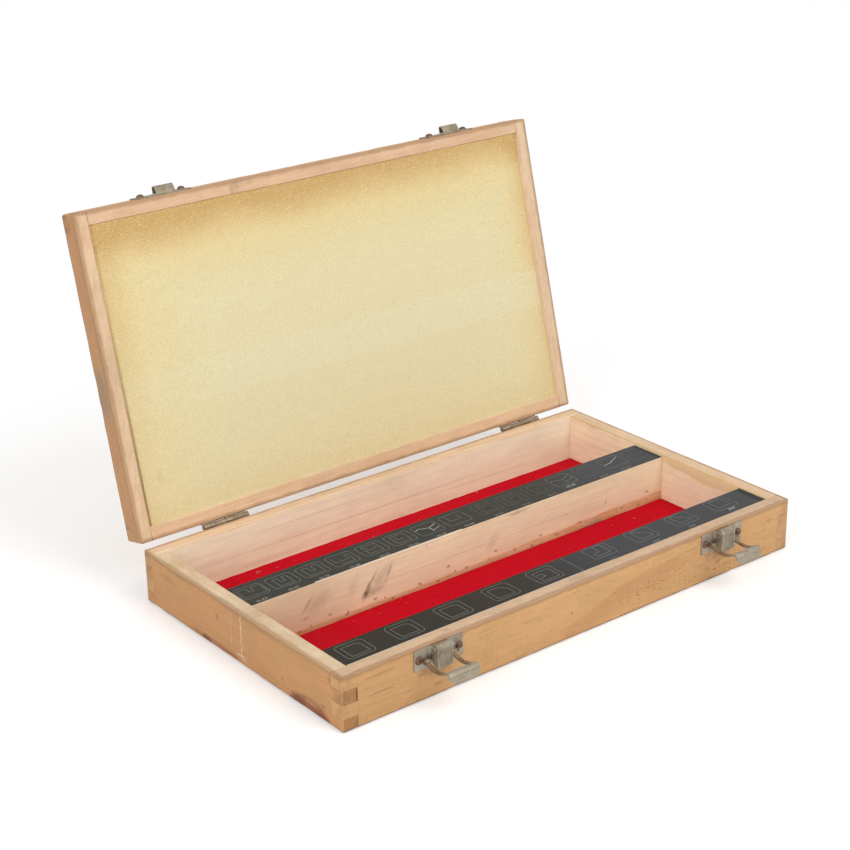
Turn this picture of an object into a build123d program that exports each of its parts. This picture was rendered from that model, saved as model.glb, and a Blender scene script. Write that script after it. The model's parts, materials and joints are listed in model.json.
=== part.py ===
from build123d import *
from math import asin, ceil, degrees
import os

# A hinged pine case for a set of micrometers. Millimetres, +Z up. The origin is the centre of the
# underside of the base, the two toggle latches are on the -Y face and the lid stands open.

# ---- carcass ----
case_length = 420.0          # outside, along X
case_depth = 243.0           # outside, along Y
base_height = 41.0
lid_height = 19.0
wall_t = 12.0                # front and rear boards of the base
side_t = 12.5                # left and right boards of the base
rail_t = 10.2                # front and rear rails of the lid
stile_t = 10.6               # left and right stiles of the lid
base_fingers = 4             # box-joint fingers at each base corner
lid_fingers = 2              # box-joint fingers at each lid corner
corner_round = 2.6           # worn vertical corners
edge_wear = 1.5              # bevel worn along the underside and along the lid's top
rim_wear = 0.6               # arris taken off the meeting rims
bottom_t = 2.4               # plywood let in flush under the base
lid_panel_t = 3.0            # plywood let in flush over the lid
rebate_w = 6.0               # how far each panel reaches into the boards
lid_open_angle = 104.0       # how far the lid stands open

# ---- compartments ----
divider_w = 31.6             # block that parts the two compartments
divider_drop = 2.2           # its top below the base rim
rear_bay = 76.5              # clear width of the rear compartment
ledge_w = 27.5               # ledge behind the front board
ledge_drop = 1.0             # its top below the base rim
block_end_gap = 0.3          # sawn length allowance of both blocks
strip_t = 0.4                # printed strips on top of both blocks
strip_inset = 0.4
felt_t = 0.6
felt_gap = 0.5
foam_t = 13.8
foam_gap = 0.4

# ---- brads along the foot of the divider block ----
brad_r = 0.8
brad_length = 9.0
brad_pitch = 33.0            # largest spacing
brad_rise = 4.5              # above the bottom panel
brad_sides = 4               # facets of the cut nails
shank_sides = 5              # facets of screw shanks and their holes
sunk_head_sides = 6          # facets of the heads sunk in the hinge leaves
head_sides = 8               # facets of small heads

# ---- hinges ----
left_hinge_inset = 73.0      # hinge centre from the left end of the case
right_hinge_inset = 56.5
hinge_length = 39.4
hinge_offset = 2.8           # pin centre behind the rear faces
hinge_knuckles = 4
knuckle_r = 2.1
knuckle_gap = 0.35           # between neighbouring knuckles
hinge_pin_r = 1.2
leaf_t = 1.0
leaf_height = 13.0
leaf_gap = 0.4               # between a leaf and the other leaf's knuckles
hinge_pin_end = 0.4
stop_reach = 5.4             # stop tab's end from the pin centre
stop_t = 1.0
stop_gap = 0.3               # left between stop tab and base leaf at full opening
hinge_screw_pitch = 13.0     # along the leaf
hinge_screw_rise = 3.9       # outer screws from the leaf's edge beside the knuckles
hinge_screw_stagger = 3.6    # middle screw beyond the outer ones
hinge_screw_head_r = 2.3
hinge_screw_land = 0.1       # straight rim of the countersunk head
hinge_screw_r = 1.1
hinge_screw_length = 8.0

# ---- latches ----
left_latch_inset = 78.5      # latch centre from the left end of the case
right_latch_inset = 74.5
plate_w = 41.0
plate_h = 15.6
plate_t = 1.0
plate_drop = 1.2             # plate's top edge below the base rim
lug_gap = 0.4                # between lever and lug
lug_t = 1.0
lug_bend = 1.6               # hollow of the bend at the lug's foot
lug_h = 6.6                  # width of the lug's foot
lug_top_r = 2.0
lever_w = 13.0
lever_t = 0.9
lever_curl_r = 3.2           # rolled top of the lever, about its pivot
lever_curl = 150.0           # how far the roll goes round the pivot
lever_drop = 13.2            # pivot to the finger edge
pivot_out = 5.0              # lever pivot in front of the board
pivot_drop = 2.8             # lever pivot below the base rim
flange_foot = 2.2            # depth of the flange at the finger edge
flange_slope = 3.5
lever_panel_w = 9.6          # sunk panel on the lever's face
lever_panel_h = 9.4
lever_panel_rise = 1.9       # panel above the finger edge
lever_panel_depth = 0.3
flange_back = 1.5            # flange's rear edge in front of the board
pivot_pin_r = 1.0
pivot_pin_end = 0.3
running_gap = 0.06           # radial play of the turning holes
bail_pin_out = 3.3           # bail pivot in front of the board
bail_pin_drop = 7.7          # bail pivot below the lever pivot
bail_w = 25.0
bail_slip = 1.2              # bail pushed to the left along its pin
bail_arm_w = 2.8
bail_t = 1.2
bail_eye_r = 1.9
bail_reach = 20.5            # bail pivot to the catching edge
bail_sag = 3.2
bail_bar = 1.2               # flat of the cross bar before its fold
bail_rise = 0.6              # height of the cross bar above the pivot
bail_fold_r = 2.6
bail_lip = 5.4
bail_lip_angle = 70.0        # lip below the horizontal
bail_lip_corner = 5.2
bail_head_gap = 0.2
bail_head_r = 1.45
bail_head_t = 0.5

# ---- keepers ----
keeper_w = 44.5
keeper_slip = 1.2            # middle of the plate left of the hook's
keeper_h = 14.0
keeper_t = 1.0
keeper_rise = 2.5            # keeper's lower edge above the lid rim
hook_w = 15.5
hook_out = 7.0
hook_wall = 3.0              # hook's front, between its two folds
hook_fold_r = 1.4
keeper_fold_r = 0.55
hook_slack = 0.4             # between hook and bail when the latch is shut
hook_lip_gap = 0.6
latch_screw_pitch = 34.0
keeper_screw_pitch = 34.6
dome_r = 2.9
dome_h = 2.2
dome_bevel = 1.4             # slope of the dome, across and down
slot_w = 0.7
slot_depth = 0.7
latch_screw_r = 1.3
latch_screw_length = 8.5

# ---- places worked out from the sizes ----
half_l = case_length / 2
half_d = case_depth / 2
inner_x = half_l - side_t
inner_y = half_d - wall_t
divider_rear_y = inner_y - rear_bay
divider_front_y = divider_rear_y - divider_w
ledge_rear_y = ledge_w - inner_y
hinge_y = half_d + hinge_offset
lid_top = base_height + lid_height
divider_top = base_height - divider_drop
ledge_top = base_height - ledge_drop
left_hinge_x = left_hinge_inset - half_l
right_hinge_x = half_l - right_hinge_inset
left_latch_x = left_latch_inset - half_l
right_latch_x = half_l - right_latch_inset
plate_top = base_height - plate_drop
plate_mid_z = plate_top - plate_h / 2
pivot_z = base_height - pivot_drop
bail_z = pivot_z - bail_pin_drop
keeper_z = base_height + keeper_rise
keeper_mid_z = keeper_z + keeper_h / 2
hook_back_z = bail_z + bail_reach - hook_slack
knuckle_w = hinge_length / hinge_knuckles
lug_x = lever_w / 2 + lug_gap

os.makedirs("parts", exist_ok=True)


def block(x0, x1, y0, y1, z0, z1):
    """Box between two opposite corners."""
    size = Box(x1 - x0, y1 - y0, z1 - z0)
    return size.moved(Location(((x0 + x1) / 2, (y0 + y1) / 2, (z0 + z1) / 2)))


def rod(start, direction, radius, length):
    """Cylinder from a start point along a direction."""
    return extrude(Plane(origin=start, z_dir=direction) * Circle(radius), length)


def stem(start, direction, radius, length, sides):
    """Small faceted rod from a start point along a direction."""
    return extrude(Plane(origin=start, z_dir=direction) * RegularPolygon(radius, sides), length)


def side_plane(x):
    """Plane across the case: its X is the distance in front of the front face, its Y is height."""
    return Plane(origin=(x, -half_d, 0), x_dir=(0, -1, 0), z_dir=(-1, 0, 0))


def slab(x0, x1, face):
    """A section drawn on the side plane, carried from x0 to x1."""
    return extrude(side_plane(x1) * face, x1 - x0)


def open_lid(shape):
    """Swing a piece drawn on the closed lid to where the open lid carries it."""
    pin_line = Axis((0, hinge_y, base_height), (1, 0, 0))
    return shape.rotate(pin_line, -lid_open_angle)


def steps(first, last, largest):
    """Evenly spaced places from first to last, no further apart than largest."""
    gaps = max(1, ceil(abs(last - first) / largest))
    return [first + (last - first) * i / gaps for i in range(gaps + 1)]


# ---- carcass pieces ----

def envelope(z0, z1, rim_z):
    """The worn outside of the base or lid, which every board is trimmed to."""
    whole = block(-half_l, half_l, -half_d, half_d, z0, z1)
    upright = fillet(whole.edges().filter_by(Axis.Z), corner_round)
    for z, end in ((z0, 0), (z1, -1)):
        wear = rim_wear if z == rim_z else edge_wear
        whole = chamfer(whole.faces().sort_by(Axis.Z)[end].edges(), wear)
    return whole & upright


def through_board(z0, z1, count, depth_t, end_t, first, sign):
    """Front or rear board: it keeps every second finger, counted from the top."""
    y0, y1 = (-half_d, depth_t - half_d) if sign < 0 else (half_d - depth_t, half_d)
    board = block(-half_l, half_l, y0, y1, z0, z1)
    finger = (z1 - z0) / count
    for i in range(count):
        if i % 2 != first:
            low = z1 - (i + 1) * finger
            board -= block(-half_l, end_t - half_l, y0, y1, low, low + finger)
            board -= block(half_l - end_t, half_l, y0, y1, low, low + finger)
    return board


def end_board(z0, z1, count, depth_t, end_t, first, sign):
    """Left or right board: it keeps the fingers that the front and rear boards leave."""
    x0, x1 = (-half_l, end_t - half_l) if sign < 0 else (half_l - end_t, half_l)
    board = block(x0, x1, -half_d, half_d, z0, z1)
    finger = (z1 - z0) / count
    for i in range(count):
        if i % 2 == first:
            low = z1 - (i + 1) * finger
            board -= block(x0, x1, -half_d, depth_t - half_d, low, low + finger)
            board -= block(x0, x1, half_d - depth_t, half_d, low, low + finger)
    return board


def panel(z0, z1, end_t, depth_t):
    """Thin board let into the rebates of its frame."""
    reach_x = half_l - end_t + rebate_w
    reach_y = half_d - depth_t + rebate_w
    return block(-reach_x, reach_x, -reach_y, reach_y, z0, z1)


def divider_block():
    """Block between the compartments."""
    reach = inner_x - block_end_gap
    return block(-reach, reach, divider_front_y, divider_rear_y, bottom_t, divider_top)


def divider_brads():
    """Row of small nails low on the front of the divider block."""
    end = inner_x - brad_pitch / 2
    z = bottom_t + brad_rise
    return [stem((x, divider_front_y, z), (0, 1, 0), brad_r, brad_length, brad_sides)
            for x in steps(-end, end, brad_pitch)]


def ledge_block():
    """Ledge behind the front board."""
    reach = inner_x - block_end_gap
    return block(-reach, reach, -inner_y, ledge_rear_y, bottom_t, ledge_top)


def printed_strip(y0, y1, z):
    """Thin printed strip on top of a block."""
    reach = inner_x - block_end_gap - strip_inset
    return block(-reach, reach, y0 + strip_inset, y1 - strip_inset, z, z + strip_t)


def floor_felt(y0, y1):
    """Felt lying on the bottom panel of one compartment."""
    reach = inner_x - felt_gap
    return block(-reach, reach, y0 + felt_gap, y1 - felt_gap, bottom_t, bottom_t + felt_t)


def lid_foam():
    """Foam sheet that fills the lid and stops a little short of its rim."""
    reach_x = half_l - stile_t - foam_gap
    reach_y = half_d - rail_t - foam_gap
    back = lid_top - lid_panel_t
    foam = block(-reach_x, reach_x, -reach_y, reach_y, back - foam_t, back)
    return open_lid(foam)


# ---- hinges ----

def knuckles(hinge_x, first, hole_r):
    """Every second knuckle of a hinge, bored for its pin."""
    left = hinge_x - hinge_length / 2
    barrels = Part()
    for i in range(first, hinge_knuckles, 2):
        start = left + i * knuckle_w + knuckle_gap / 2
        width = knuckle_w - knuckle_gap
        barrels += rod((start, hinge_y, base_height), (1, 0, 0), knuckle_r, width)
    pin_line = rod((left, hinge_y, base_height), (1, 0, 0), hole_r, hinge_length)
    return barrels - pin_line, pin_line


def leaf_screw_places(hinge_x, up):
    """Screws of one leaf: two near the knuckles and one further out between them."""
    near = base_height + up * (knuckle_r + leaf_gap + hinge_screw_rise)
    far = near + up * hinge_screw_stagger
    return [(hinge_x - hinge_screw_pitch, near), (hinge_x, far), (hinge_x + hinge_screw_pitch, near)]


def leaf_screw(x, z):
    """Countersunk screw, its head flush with the leaf."""
    head = stem((x, half_d, z), (0, 1, 0), hinge_screw_head_r, leaf_t, sunk_head_sides)
    head = chamfer(head.faces().sort_by(Axis.Y)[0].edges(), leaf_t - hinge_screw_land)
    return head + stem((x, half_d, z), (0, -1, 0), hinge_screw_r, hinge_screw_length, shank_sides)


def hinge_leaf(hinge_x, up, first, hole_r):
    """One leaf on a rear face, with the tongues that roll into its own knuckles."""
    left = hinge_x - hinge_length / 2
    near = base_height + up * (knuckle_r + leaf_gap)
    far = near + up * leaf_height
    low, high = min(near, far), max(near, far)
    leaf = block(left, left + hinge_length, half_d, half_d + leaf_t, low, high)
    corners = leaf.edges().filter_by(Axis.Y).group_by(Axis.Z)[-1 if up > 0 else 0]
    leaf = chamfer(corners, leaf_t)
    for i in range(first, hinge_knuckles, 2):
        start = left + i * knuckle_w + knuckle_gap / 2
        end = start + knuckle_w - knuckle_gap
        leaf += block(start, end, half_d, half_d + leaf_t, min(near, base_height), max(near, base_height))
    barrels, pin_line = knuckles(hinge_x, first, hole_r)
    leaf = leaf + barrels - pin_line
    for x, z in leaf_screw_places(hinge_x, up):
        leaf -= leaf_screw(x, z)
    return leaf


def stop_tabs(hinge_x, hole_r):
    """Tabs on the lid's knuckles that meet the base leaf when the lid is fully open."""
    wall = hinge_offset - leaf_t - stop_gap - stop_t / 2
    lean = asin(wall / stop_reach)
    turn = lid_open_angle - 90 - degrees(lean)
    left = hinge_x - hinge_length / 2
    tabs = Part()
    for i in range(0, hinge_knuckles, 2):
        start = left + i * knuckle_w + knuckle_gap / 2
        tab = block(start, start + knuckle_w - knuckle_gap, (hole_r + knuckle_r) / 2, stop_reach,
                    -stop_t / 2, stop_t / 2)
        tabs += tab.rotate(Axis.X, turn).moved(Location((0, hinge_y, base_height)))
    return tabs


def hinge_pin(hinge_x):
    """Pin through both leaves' knuckles."""
    start = hinge_x - hinge_length / 2 - hinge_pin_end
    return rod((start, hinge_y, base_height), (1, 0, 0), hinge_pin_r, hinge_length + 2 * hinge_pin_end)


# ---- latches ----

def dome_screw(x, z, seat):
    """Round-head screw: its head sits on a plate of the given thickness."""
    face_y = -half_d - seat
    head = stem((x, face_y, z), (0, -1, 0), dome_r, dome_h, head_sides)
    head = chamfer(head.faces().sort_by(Axis.Y)[0].edges(), dome_bevel)
    slot = block(x - dome_r, x + dome_r, face_y - dome_h, face_y - dome_h + slot_depth,
                 z - slot_w / 2, z + slot_w / 2)
    return head - slot + dome_screw_room(x, z, seat)


def dome_screw_room(x, z, seat):
    """The room that a round-head screw's shank takes."""
    return stem((x, -half_d - seat, z), (0, 1, 0), latch_screw_r, latch_screw_length, shank_sides)


def latch_screw_places(latch_x):
    return [(latch_x + s * latch_screw_pitch / 2, plate_mid_z) for s in (-1, 1)]


def keeper_screw_places(latch_x):
    mid_x = latch_x - keeper_slip
    return [(mid_x + s * keeper_screw_pitch / 2, keeper_mid_z) for s in (-1, 1)]


def latch_lug(latch_x, side):
    """Lug bent up from the plate beside the lever, with a hollow bend at its foot."""
    foot = lug_x + lug_t + lug_bend
    top = pivot_out + lug_top_r
    outline = Polyline((lug_x, plate_t), (lug_x, top), (lug_x + lug_t, top),
                       (lug_x + lug_t, plate_t + lug_bend))
    hollow = RadiusArc((lug_x + lug_t, plate_t + lug_bend), (foot, plate_t), lug_bend)
    section = make_face(outline + hollow + Line((foot, plate_t), (lug_x, plate_t)))
    plane = Plane(origin=(latch_x, -half_d, plate_top), x_dir=(side, 0, 0), z_dir=(0, 0, -side))
    lug = extrude(plane * section, lug_h * side)
    profile = make_hull([
        Pos(pivot_out, pivot_z) * Edge.make_circle(lug_top_r),
        Line((plate_t, plate_top), (plate_t, plate_top - lug_h))])
    reach = foot + lug_t
    span = (latch_x - reach, latch_x + reach)
    return lug & slab(span[0], span[1], profile)


def latch_plate(latch_x):
    """Base plate of a latch, notched for the lever's rolled top between its two lugs."""
    plate = block(latch_x - plate_w / 2, latch_x + plate_w / 2, -half_d - plate_t, -half_d,
                  plate_top - plate_h, plate_top)
    plate -= block(latch_x - lug_x, latch_x + lug_x, -half_d - plate_t, -half_d,
                   plate_top - lug_h, plate_top)
    for side in (-1, 1):
        plate += latch_lug(latch_x, side)
    plate -= lever_pin(latch_x)
    for x, z in latch_screw_places(latch_x):
        plate -= dome_screw_room(x, z, plate_t)
    return plate


def lever_pin(latch_x):
    """Pin that the lever turns on, held in the two lugs."""
    half = lug_x + lug_t + pivot_pin_end
    return rod((latch_x - half, -half_d - pivot_out, pivot_z), (1, 0, 0), pivot_pin_r, 2 * half)


def latch_lever(latch_x):
    """Channel-shaped lever: a front web rolled over the pivot and two flanges."""
    mid_out = pivot_out + lever_curl_r - lever_t / 2
    foot_z = pivot_z - lever_drop
    web_line = Line((mid_out, foot_z), (mid_out, pivot_z))
    roll = CenterArc((pivot_out, pivot_z), lever_curl_r - lever_t / 2, 0, lever_curl)
    web = trace(web_line, lever_t) + trace(roll, lever_t)
    half = lever_w / 2
    lever = slab(latch_x - half, latch_x + half, web)
    front = pivot_out + lever_curl_r
    flange = make_face(Polyline((front, pivot_z), (front, foot_z), (front - flange_foot, foot_z),
                                (flange_back, foot_z + flange_slope), (flange_back, pivot_z), close=True))
    flange += Pos(pivot_out, pivot_z) * Circle(lever_curl_r)
    for x0 in (latch_x - half, latch_x + half - lever_t):
        lever += slab(x0, x0 + lever_t, flange)
    panel_z = foot_z + lever_panel_rise
    lever -= block(latch_x - lever_panel_w / 2, latch_x + lever_panel_w / 2, -half_d - front,
                   -half_d - front + lever_panel_depth, panel_z, panel_z + lever_panel_h)
    reach = half + lever_t
    turning = rod((latch_x - reach, -half_d - pivot_out, pivot_z), (1, 0, 0),
                  pivot_pin_r + running_gap, 2 * reach)
    return lever - turning - bail_pin_shank(latch_x)


def bail_pin_shank(latch_x):
    half = bail_w / 2 + bail_slip + bail_head_gap
    return rod((latch_x - half, -half_d - bail_pin_out, bail_z), (1, 0, 0), pivot_pin_r, 2 * half)


def bail_pin(latch_x):
    """Headed pin through the lever's flanges that carries the bail."""
    pin = bail_pin_shank(latch_x)
    for side in (-1, 1):
        start = latch_x + side * (bail_w / 2 + bail_slip + bail_head_gap)
        pin += stem((start, -half_d - bail_pin_out, bail_z), (side, 0, 0),
                    bail_head_r, bail_head_t, head_sides)
    return pin


def latch_bail(latch_x):
    """Bail: two bowed arms from their rolled eyes to a cross bar folded down into a lip."""
    bail_x = latch_x - bail_slip
    end = (bail_reach + bail_bar, bail_rise)
    bow = ThreePointArc((0, 0), (end[0] / 2, bail_rise / 2 - bail_sag), end)
    along = bow % 1
    lift = degrees(asin(along.Y))
    fold = JernArc(end, (along.X, along.Y), bail_fold_r, -(lift + bail_lip_angle))
    down = fold % 1
    strip = trace(bow, bail_t) + trace(fold, bail_t)
    half = bail_w / 2
    sheet = extrude(side_plane(bail_x + half) * (Pos(bail_pin_out, bail_z) * strip), bail_w)
    lip_end = fold @ 1
    lip_x = bail_pin_out + lip_end.X
    lip_z = bail_z + lip_end.Y
    lip_plane = Plane(origin=(bail_x, -half_d - lip_x, lip_z), x_dir=(1, 0, 0),
                      z_dir=(0, -down.Y, -down.X))
    lip = Rectangle(bail_w, 2 * bail_lip)
    lip = fillet(lip.vertices(), bail_lip_corner)
    lip = extrude(lip_plane * lip, bail_t / 2, both=True)
    below = Plane(origin=(bail_x, -half_d - lip_x, lip_z), x_dir=(1, 0, 0), z_dir=(0, -down.X, down.Y))
    lip = split(lip, below, keep=Keep.TOP)
    window = block(bail_x - half + bail_arm_w, bail_x + half - bail_arm_w,
                   -half_d - bail_pin_out - bail_reach, -half_d, bail_z - bail_reach, bail_z + bail_reach)
    bail = sheet + lip - window
    for x0 in (bail_x - half, bail_x + half - bail_arm_w):
        bail += rod((x0, -half_d - bail_pin_out, bail_z), (1, 0, 0), bail_eye_r, bail_arm_w)
    turning = rod((bail_x - half, -half_d - bail_pin_out, bail_z), (1, 0, 0),
                  pivot_pin_r + running_gap, bail_w)
    return bail - turning


# ---- keepers ----

def keeper(latch_x):
    """Lid plate of a latch, its middle folded up and back into the hook that the bail catches."""
    left = latch_x - keeper_slip - keeper_w / 2
    plate = block(left, left + keeper_w, -half_d - keeper_t, -half_d, keeper_z, keeper_z + keeper_h)
    for x, z in keeper_screw_places(latch_x):
        plate -= dome_screw_room(x, z, keeper_t)
    mid = keeper_t / 2
    crest = hook_out - mid
    fall = hook_back_z - mid
    path = FilletPolyline((mid, keeper_z + keeper_t + mid), (mid, keeper_z + mid),
                          (crest, fall - hook_wall), (crest, fall),
                          (keeper_t + hook_lip_gap, fall), radius=[keeper_fold_r, hook_fold_r, hook_fold_r])
    hook = slab(latch_x - hook_w / 2, latch_x + hook_w / 2, trace(path, keeper_t))
    return plate + hook


# ---- assembly ----

def base_boards():
    """The four boards of the base and the bottom panel."""
    worn = envelope(0, base_height, base_height)
    floor = panel(0, bottom_t, side_t, wall_t)
    sizes = (0, base_height, base_fingers, wall_t, side_t, 0)
    boards = {
        "base_front_wall": through_board(*sizes, -1),
        "base_rear_wall": through_board(*sizes, 1),
        "base_left_wall": end_board(*sizes, -1),
        "base_right_wall": end_board(*sizes, 1),
    }
    holes = []
    for latch_x in (left_latch_x, right_latch_x):
        holes += [dome_screw_room(x, z, plate_t) for x, z in latch_screw_places(latch_x)]
    for hinge_x in (left_hinge_x, right_hinge_x):
        holes += [leaf_screw(x, z) for x, z in leaf_screw_places(hinge_x, -1)]
    for name in boards:
        boards[name] = (boards[name] & worn) - floor - holes
    boards["base_bottom_panel"] = floor
    return boards


def lid_boards():
    """The four boards of the lid and its panel, standing open."""
    worn = envelope(base_height, lid_top, base_height)
    top = panel(lid_top - lid_panel_t, lid_top, stile_t, rail_t)
    sizes = (base_height, lid_top, lid_fingers, rail_t, stile_t, 0)
    boards = {
        "lid_front_rail": through_board(*sizes, -1),
        "lid_rear_rail": through_board(*sizes, 1),
        "lid_left_stile": end_board(*sizes, -1),
        "lid_right_stile": end_board(*sizes, 1),
    }
    holes = []
    for latch_x in (left_latch_x, right_latch_x):
        holes += [dome_screw_room(x, z, keeper_t) for x, z in keeper_screw_places(latch_x)]
    for hinge_x in (left_hinge_x, right_hinge_x):
        holes += [leaf_screw(x, z) for x, z in leaf_screw_places(hinge_x, 1)]
    for name in boards:
        boards[name] = (boards[name] & worn) - top - holes
    boards["lid_panel"] = top
    return {name: open_lid(shape) for name, shape in boards.items()}


def insides():
    """Blocks, strips, felts and foam."""
    brads = divider_brads()
    return {
        "divider_block": divider_block() - brads,
        "divider_brads": Compound(children=brads),
        "front_ledge": ledge_block(),
        "divider_label_strip": printed_strip(divider_front_y, divider_rear_y, divider_top),
        "front_label_strip": printed_strip(-inner_y, ledge_rear_y, ledge_top),
        "rear_floor_felt": floor_felt(divider_rear_y, inner_y),
        "front_floor_felt": floor_felt(ledge_rear_y, divider_front_y),
        "lid_foam": lid_foam(),
    }


def hinges():
    """Both hinges and their screws."""
    pieces = {}
    base_screws = []
    lid_screws = []
    for side, hinge_x in (("left", left_hinge_x), ("right", right_hinge_x)):
        turning_r = hinge_pin_r + running_gap
        pieces[side + "_hinge_base_leaf"] = hinge_leaf(hinge_x, -1, 1, hinge_pin_r)
        lid_leaf = hinge_leaf(hinge_x, 1, 0, turning_r) + stop_tabs(hinge_x, turning_r)
        pieces[side + "_hinge_lid_leaf"] = open_lid(lid_leaf)
        pieces[side + "_hinge_pin"] = hinge_pin(hinge_x)
        base_screws += [leaf_screw(x, z) for x, z in leaf_screw_places(hinge_x, -1)]
        lid_screws += [leaf_screw(x, z) for x, z in leaf_screw_places(hinge_x, 1)]
    pieces["hinge_base_screws"] = Compound(children=base_screws)
    pieces["hinge_lid_screws"] = open_lid(Compound(children=lid_screws))
    return pieces


def latches():
    """Both toggle latches, their keepers and screws."""
    pieces = {}
    plate_screws = []
    keeper_screws = []
    for side, latch_x in (("left", left_latch_x), ("right", right_latch_x)):
        pieces[side + "_latch_plate"] = latch_plate(latch_x)
        pieces[side + "_lever_pin"] = lever_pin(latch_x)
        pieces[side + "_latch_lever"] = latch_lever(latch_x)
        pieces[side + "_bail_pin"] = bail_pin(latch_x)
        pieces[side + "_latch_bail"] = latch_bail(latch_x)
        pieces[side + "_keeper"] = open_lid(keeper(latch_x))
        plate_screws += [dome_screw(x, z, plate_t) for x, z in latch_screw_places(latch_x)]
        keeper_screws += [dome_screw(x, z, keeper_t) for x, z in keeper_screw_places(latch_x)]
    pieces["latch_plate_screws"] = Compound(children=plate_screws)
    pieces["keeper_screws"] = open_lid(Compound(children=keeper_screws))
    return pieces


for group in (base_boards(), lid_boards(), insides(), hinges(), latches()):
    for node, shape in group.items():
        export_step(shape, f"parts/{node}.step")
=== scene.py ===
"""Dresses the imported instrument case: worn pine boards, printed strips, felts, foam and tarnished fittings."""
import collections
import functools
import json
import math
import random

import bmesh
import bpy
from bpy.props import FloatProperty, FloatVectorProperty, IntProperty, PointerProperty
from mathutils import Matrix, Vector, noise


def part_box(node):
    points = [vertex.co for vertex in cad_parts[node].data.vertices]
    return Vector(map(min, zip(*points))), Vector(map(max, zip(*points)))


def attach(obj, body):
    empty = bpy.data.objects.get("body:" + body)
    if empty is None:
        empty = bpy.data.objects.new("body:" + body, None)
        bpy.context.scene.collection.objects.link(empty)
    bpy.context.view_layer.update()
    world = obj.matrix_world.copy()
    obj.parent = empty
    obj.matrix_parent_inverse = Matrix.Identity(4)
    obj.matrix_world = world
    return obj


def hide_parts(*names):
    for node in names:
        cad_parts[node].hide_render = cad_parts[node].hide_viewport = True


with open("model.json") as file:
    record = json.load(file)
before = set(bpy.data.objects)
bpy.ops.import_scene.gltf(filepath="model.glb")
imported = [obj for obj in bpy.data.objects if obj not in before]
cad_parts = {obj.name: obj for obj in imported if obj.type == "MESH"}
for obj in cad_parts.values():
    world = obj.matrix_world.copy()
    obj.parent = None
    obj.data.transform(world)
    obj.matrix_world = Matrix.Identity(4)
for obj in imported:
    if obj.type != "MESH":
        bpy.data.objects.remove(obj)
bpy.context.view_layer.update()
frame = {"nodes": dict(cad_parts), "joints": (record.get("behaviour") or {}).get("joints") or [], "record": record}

bl_info = {
    "name": "Instrument Case Dresser",
    "version": (1, 0, 0),
    "blender": (4, 5, 0),
    "location": "3D View > Sidebar > Case",
    "description": "Dresses a hinged pine instrument case with its finishes, felts, foam, prints and fittings",
    "category": "Object",
}

MM = 0.001
LATCH_PLATES = ("left_latch_plate", "right_latch_plate")
PLATE_THICKNESS = 1.0 * MM
RIM_CLEARANCE = 0.06 * MM   # keeps the rims of the shut lid clear of the base's
ARRIS_REACH = 2.6 * MM      # how far from an outer arris the wear goes
SKIN = 4 * MM               # depth of a stain into the face that it lies on
SAW_PITCH = 3 * MM          # between the saw marks on the rear wall
OPEN_JOINT = Vector((-198.3, 0.0, 25.0)) * MM   # middle of the joint that has opened at the left corner
LEVER_FACE_Z = 27.2 * MM    # middle of the levers' faces
CURL_TURN = 0.9             # turn of a curl of lint from one point to the next
STRIP_CUTS = 80


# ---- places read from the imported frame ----

def middle(node):
    """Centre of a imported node's box."""
    low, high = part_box(node)
    return (low + high) / 2


def joint(name):
    """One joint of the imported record."""
    return next(j for j in frame["joints"] if j["name"] == name)


LID_PIVOT = Vector(joint("lid_hinge")["pos_m"])
LID_ANGLE = math.radians(max(abs(v) for v in joint("lid_hinge")["range_deg"]))
SHUT = Matrix.Translation(LID_PIVOT) @ Matrix.Rotation(LID_ANGLE, 4, "X") @ Matrix.Translation(-LID_PIVOT)
OPEN = SHUT.inverted()
STAY = Matrix.Identity(4)

HALF_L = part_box("base_front_wall")[1].x
HALF_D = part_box("base_rear_wall")[1].y
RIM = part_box("base_front_wall")[1].z
INNER_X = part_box("base_right_wall")[0].x
INNER_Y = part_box("base_rear_wall")[0].y


def corners(points):
    """Lowest and highest corner of the box round some points."""
    return tuple(Vector([pick(p[i] for p in points) for i in range(3)]) for pick in (min, max))


def shut_box(node, matrix):
    """Lowest and highest corner of a node after a matrix."""
    return corners([matrix @ v.co for v in frame["nodes"][node].data.vertices])


LID_TOP = shut_box("lid_front_rail", SHUT)[1].z


# ---- what a user may change ----

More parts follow.
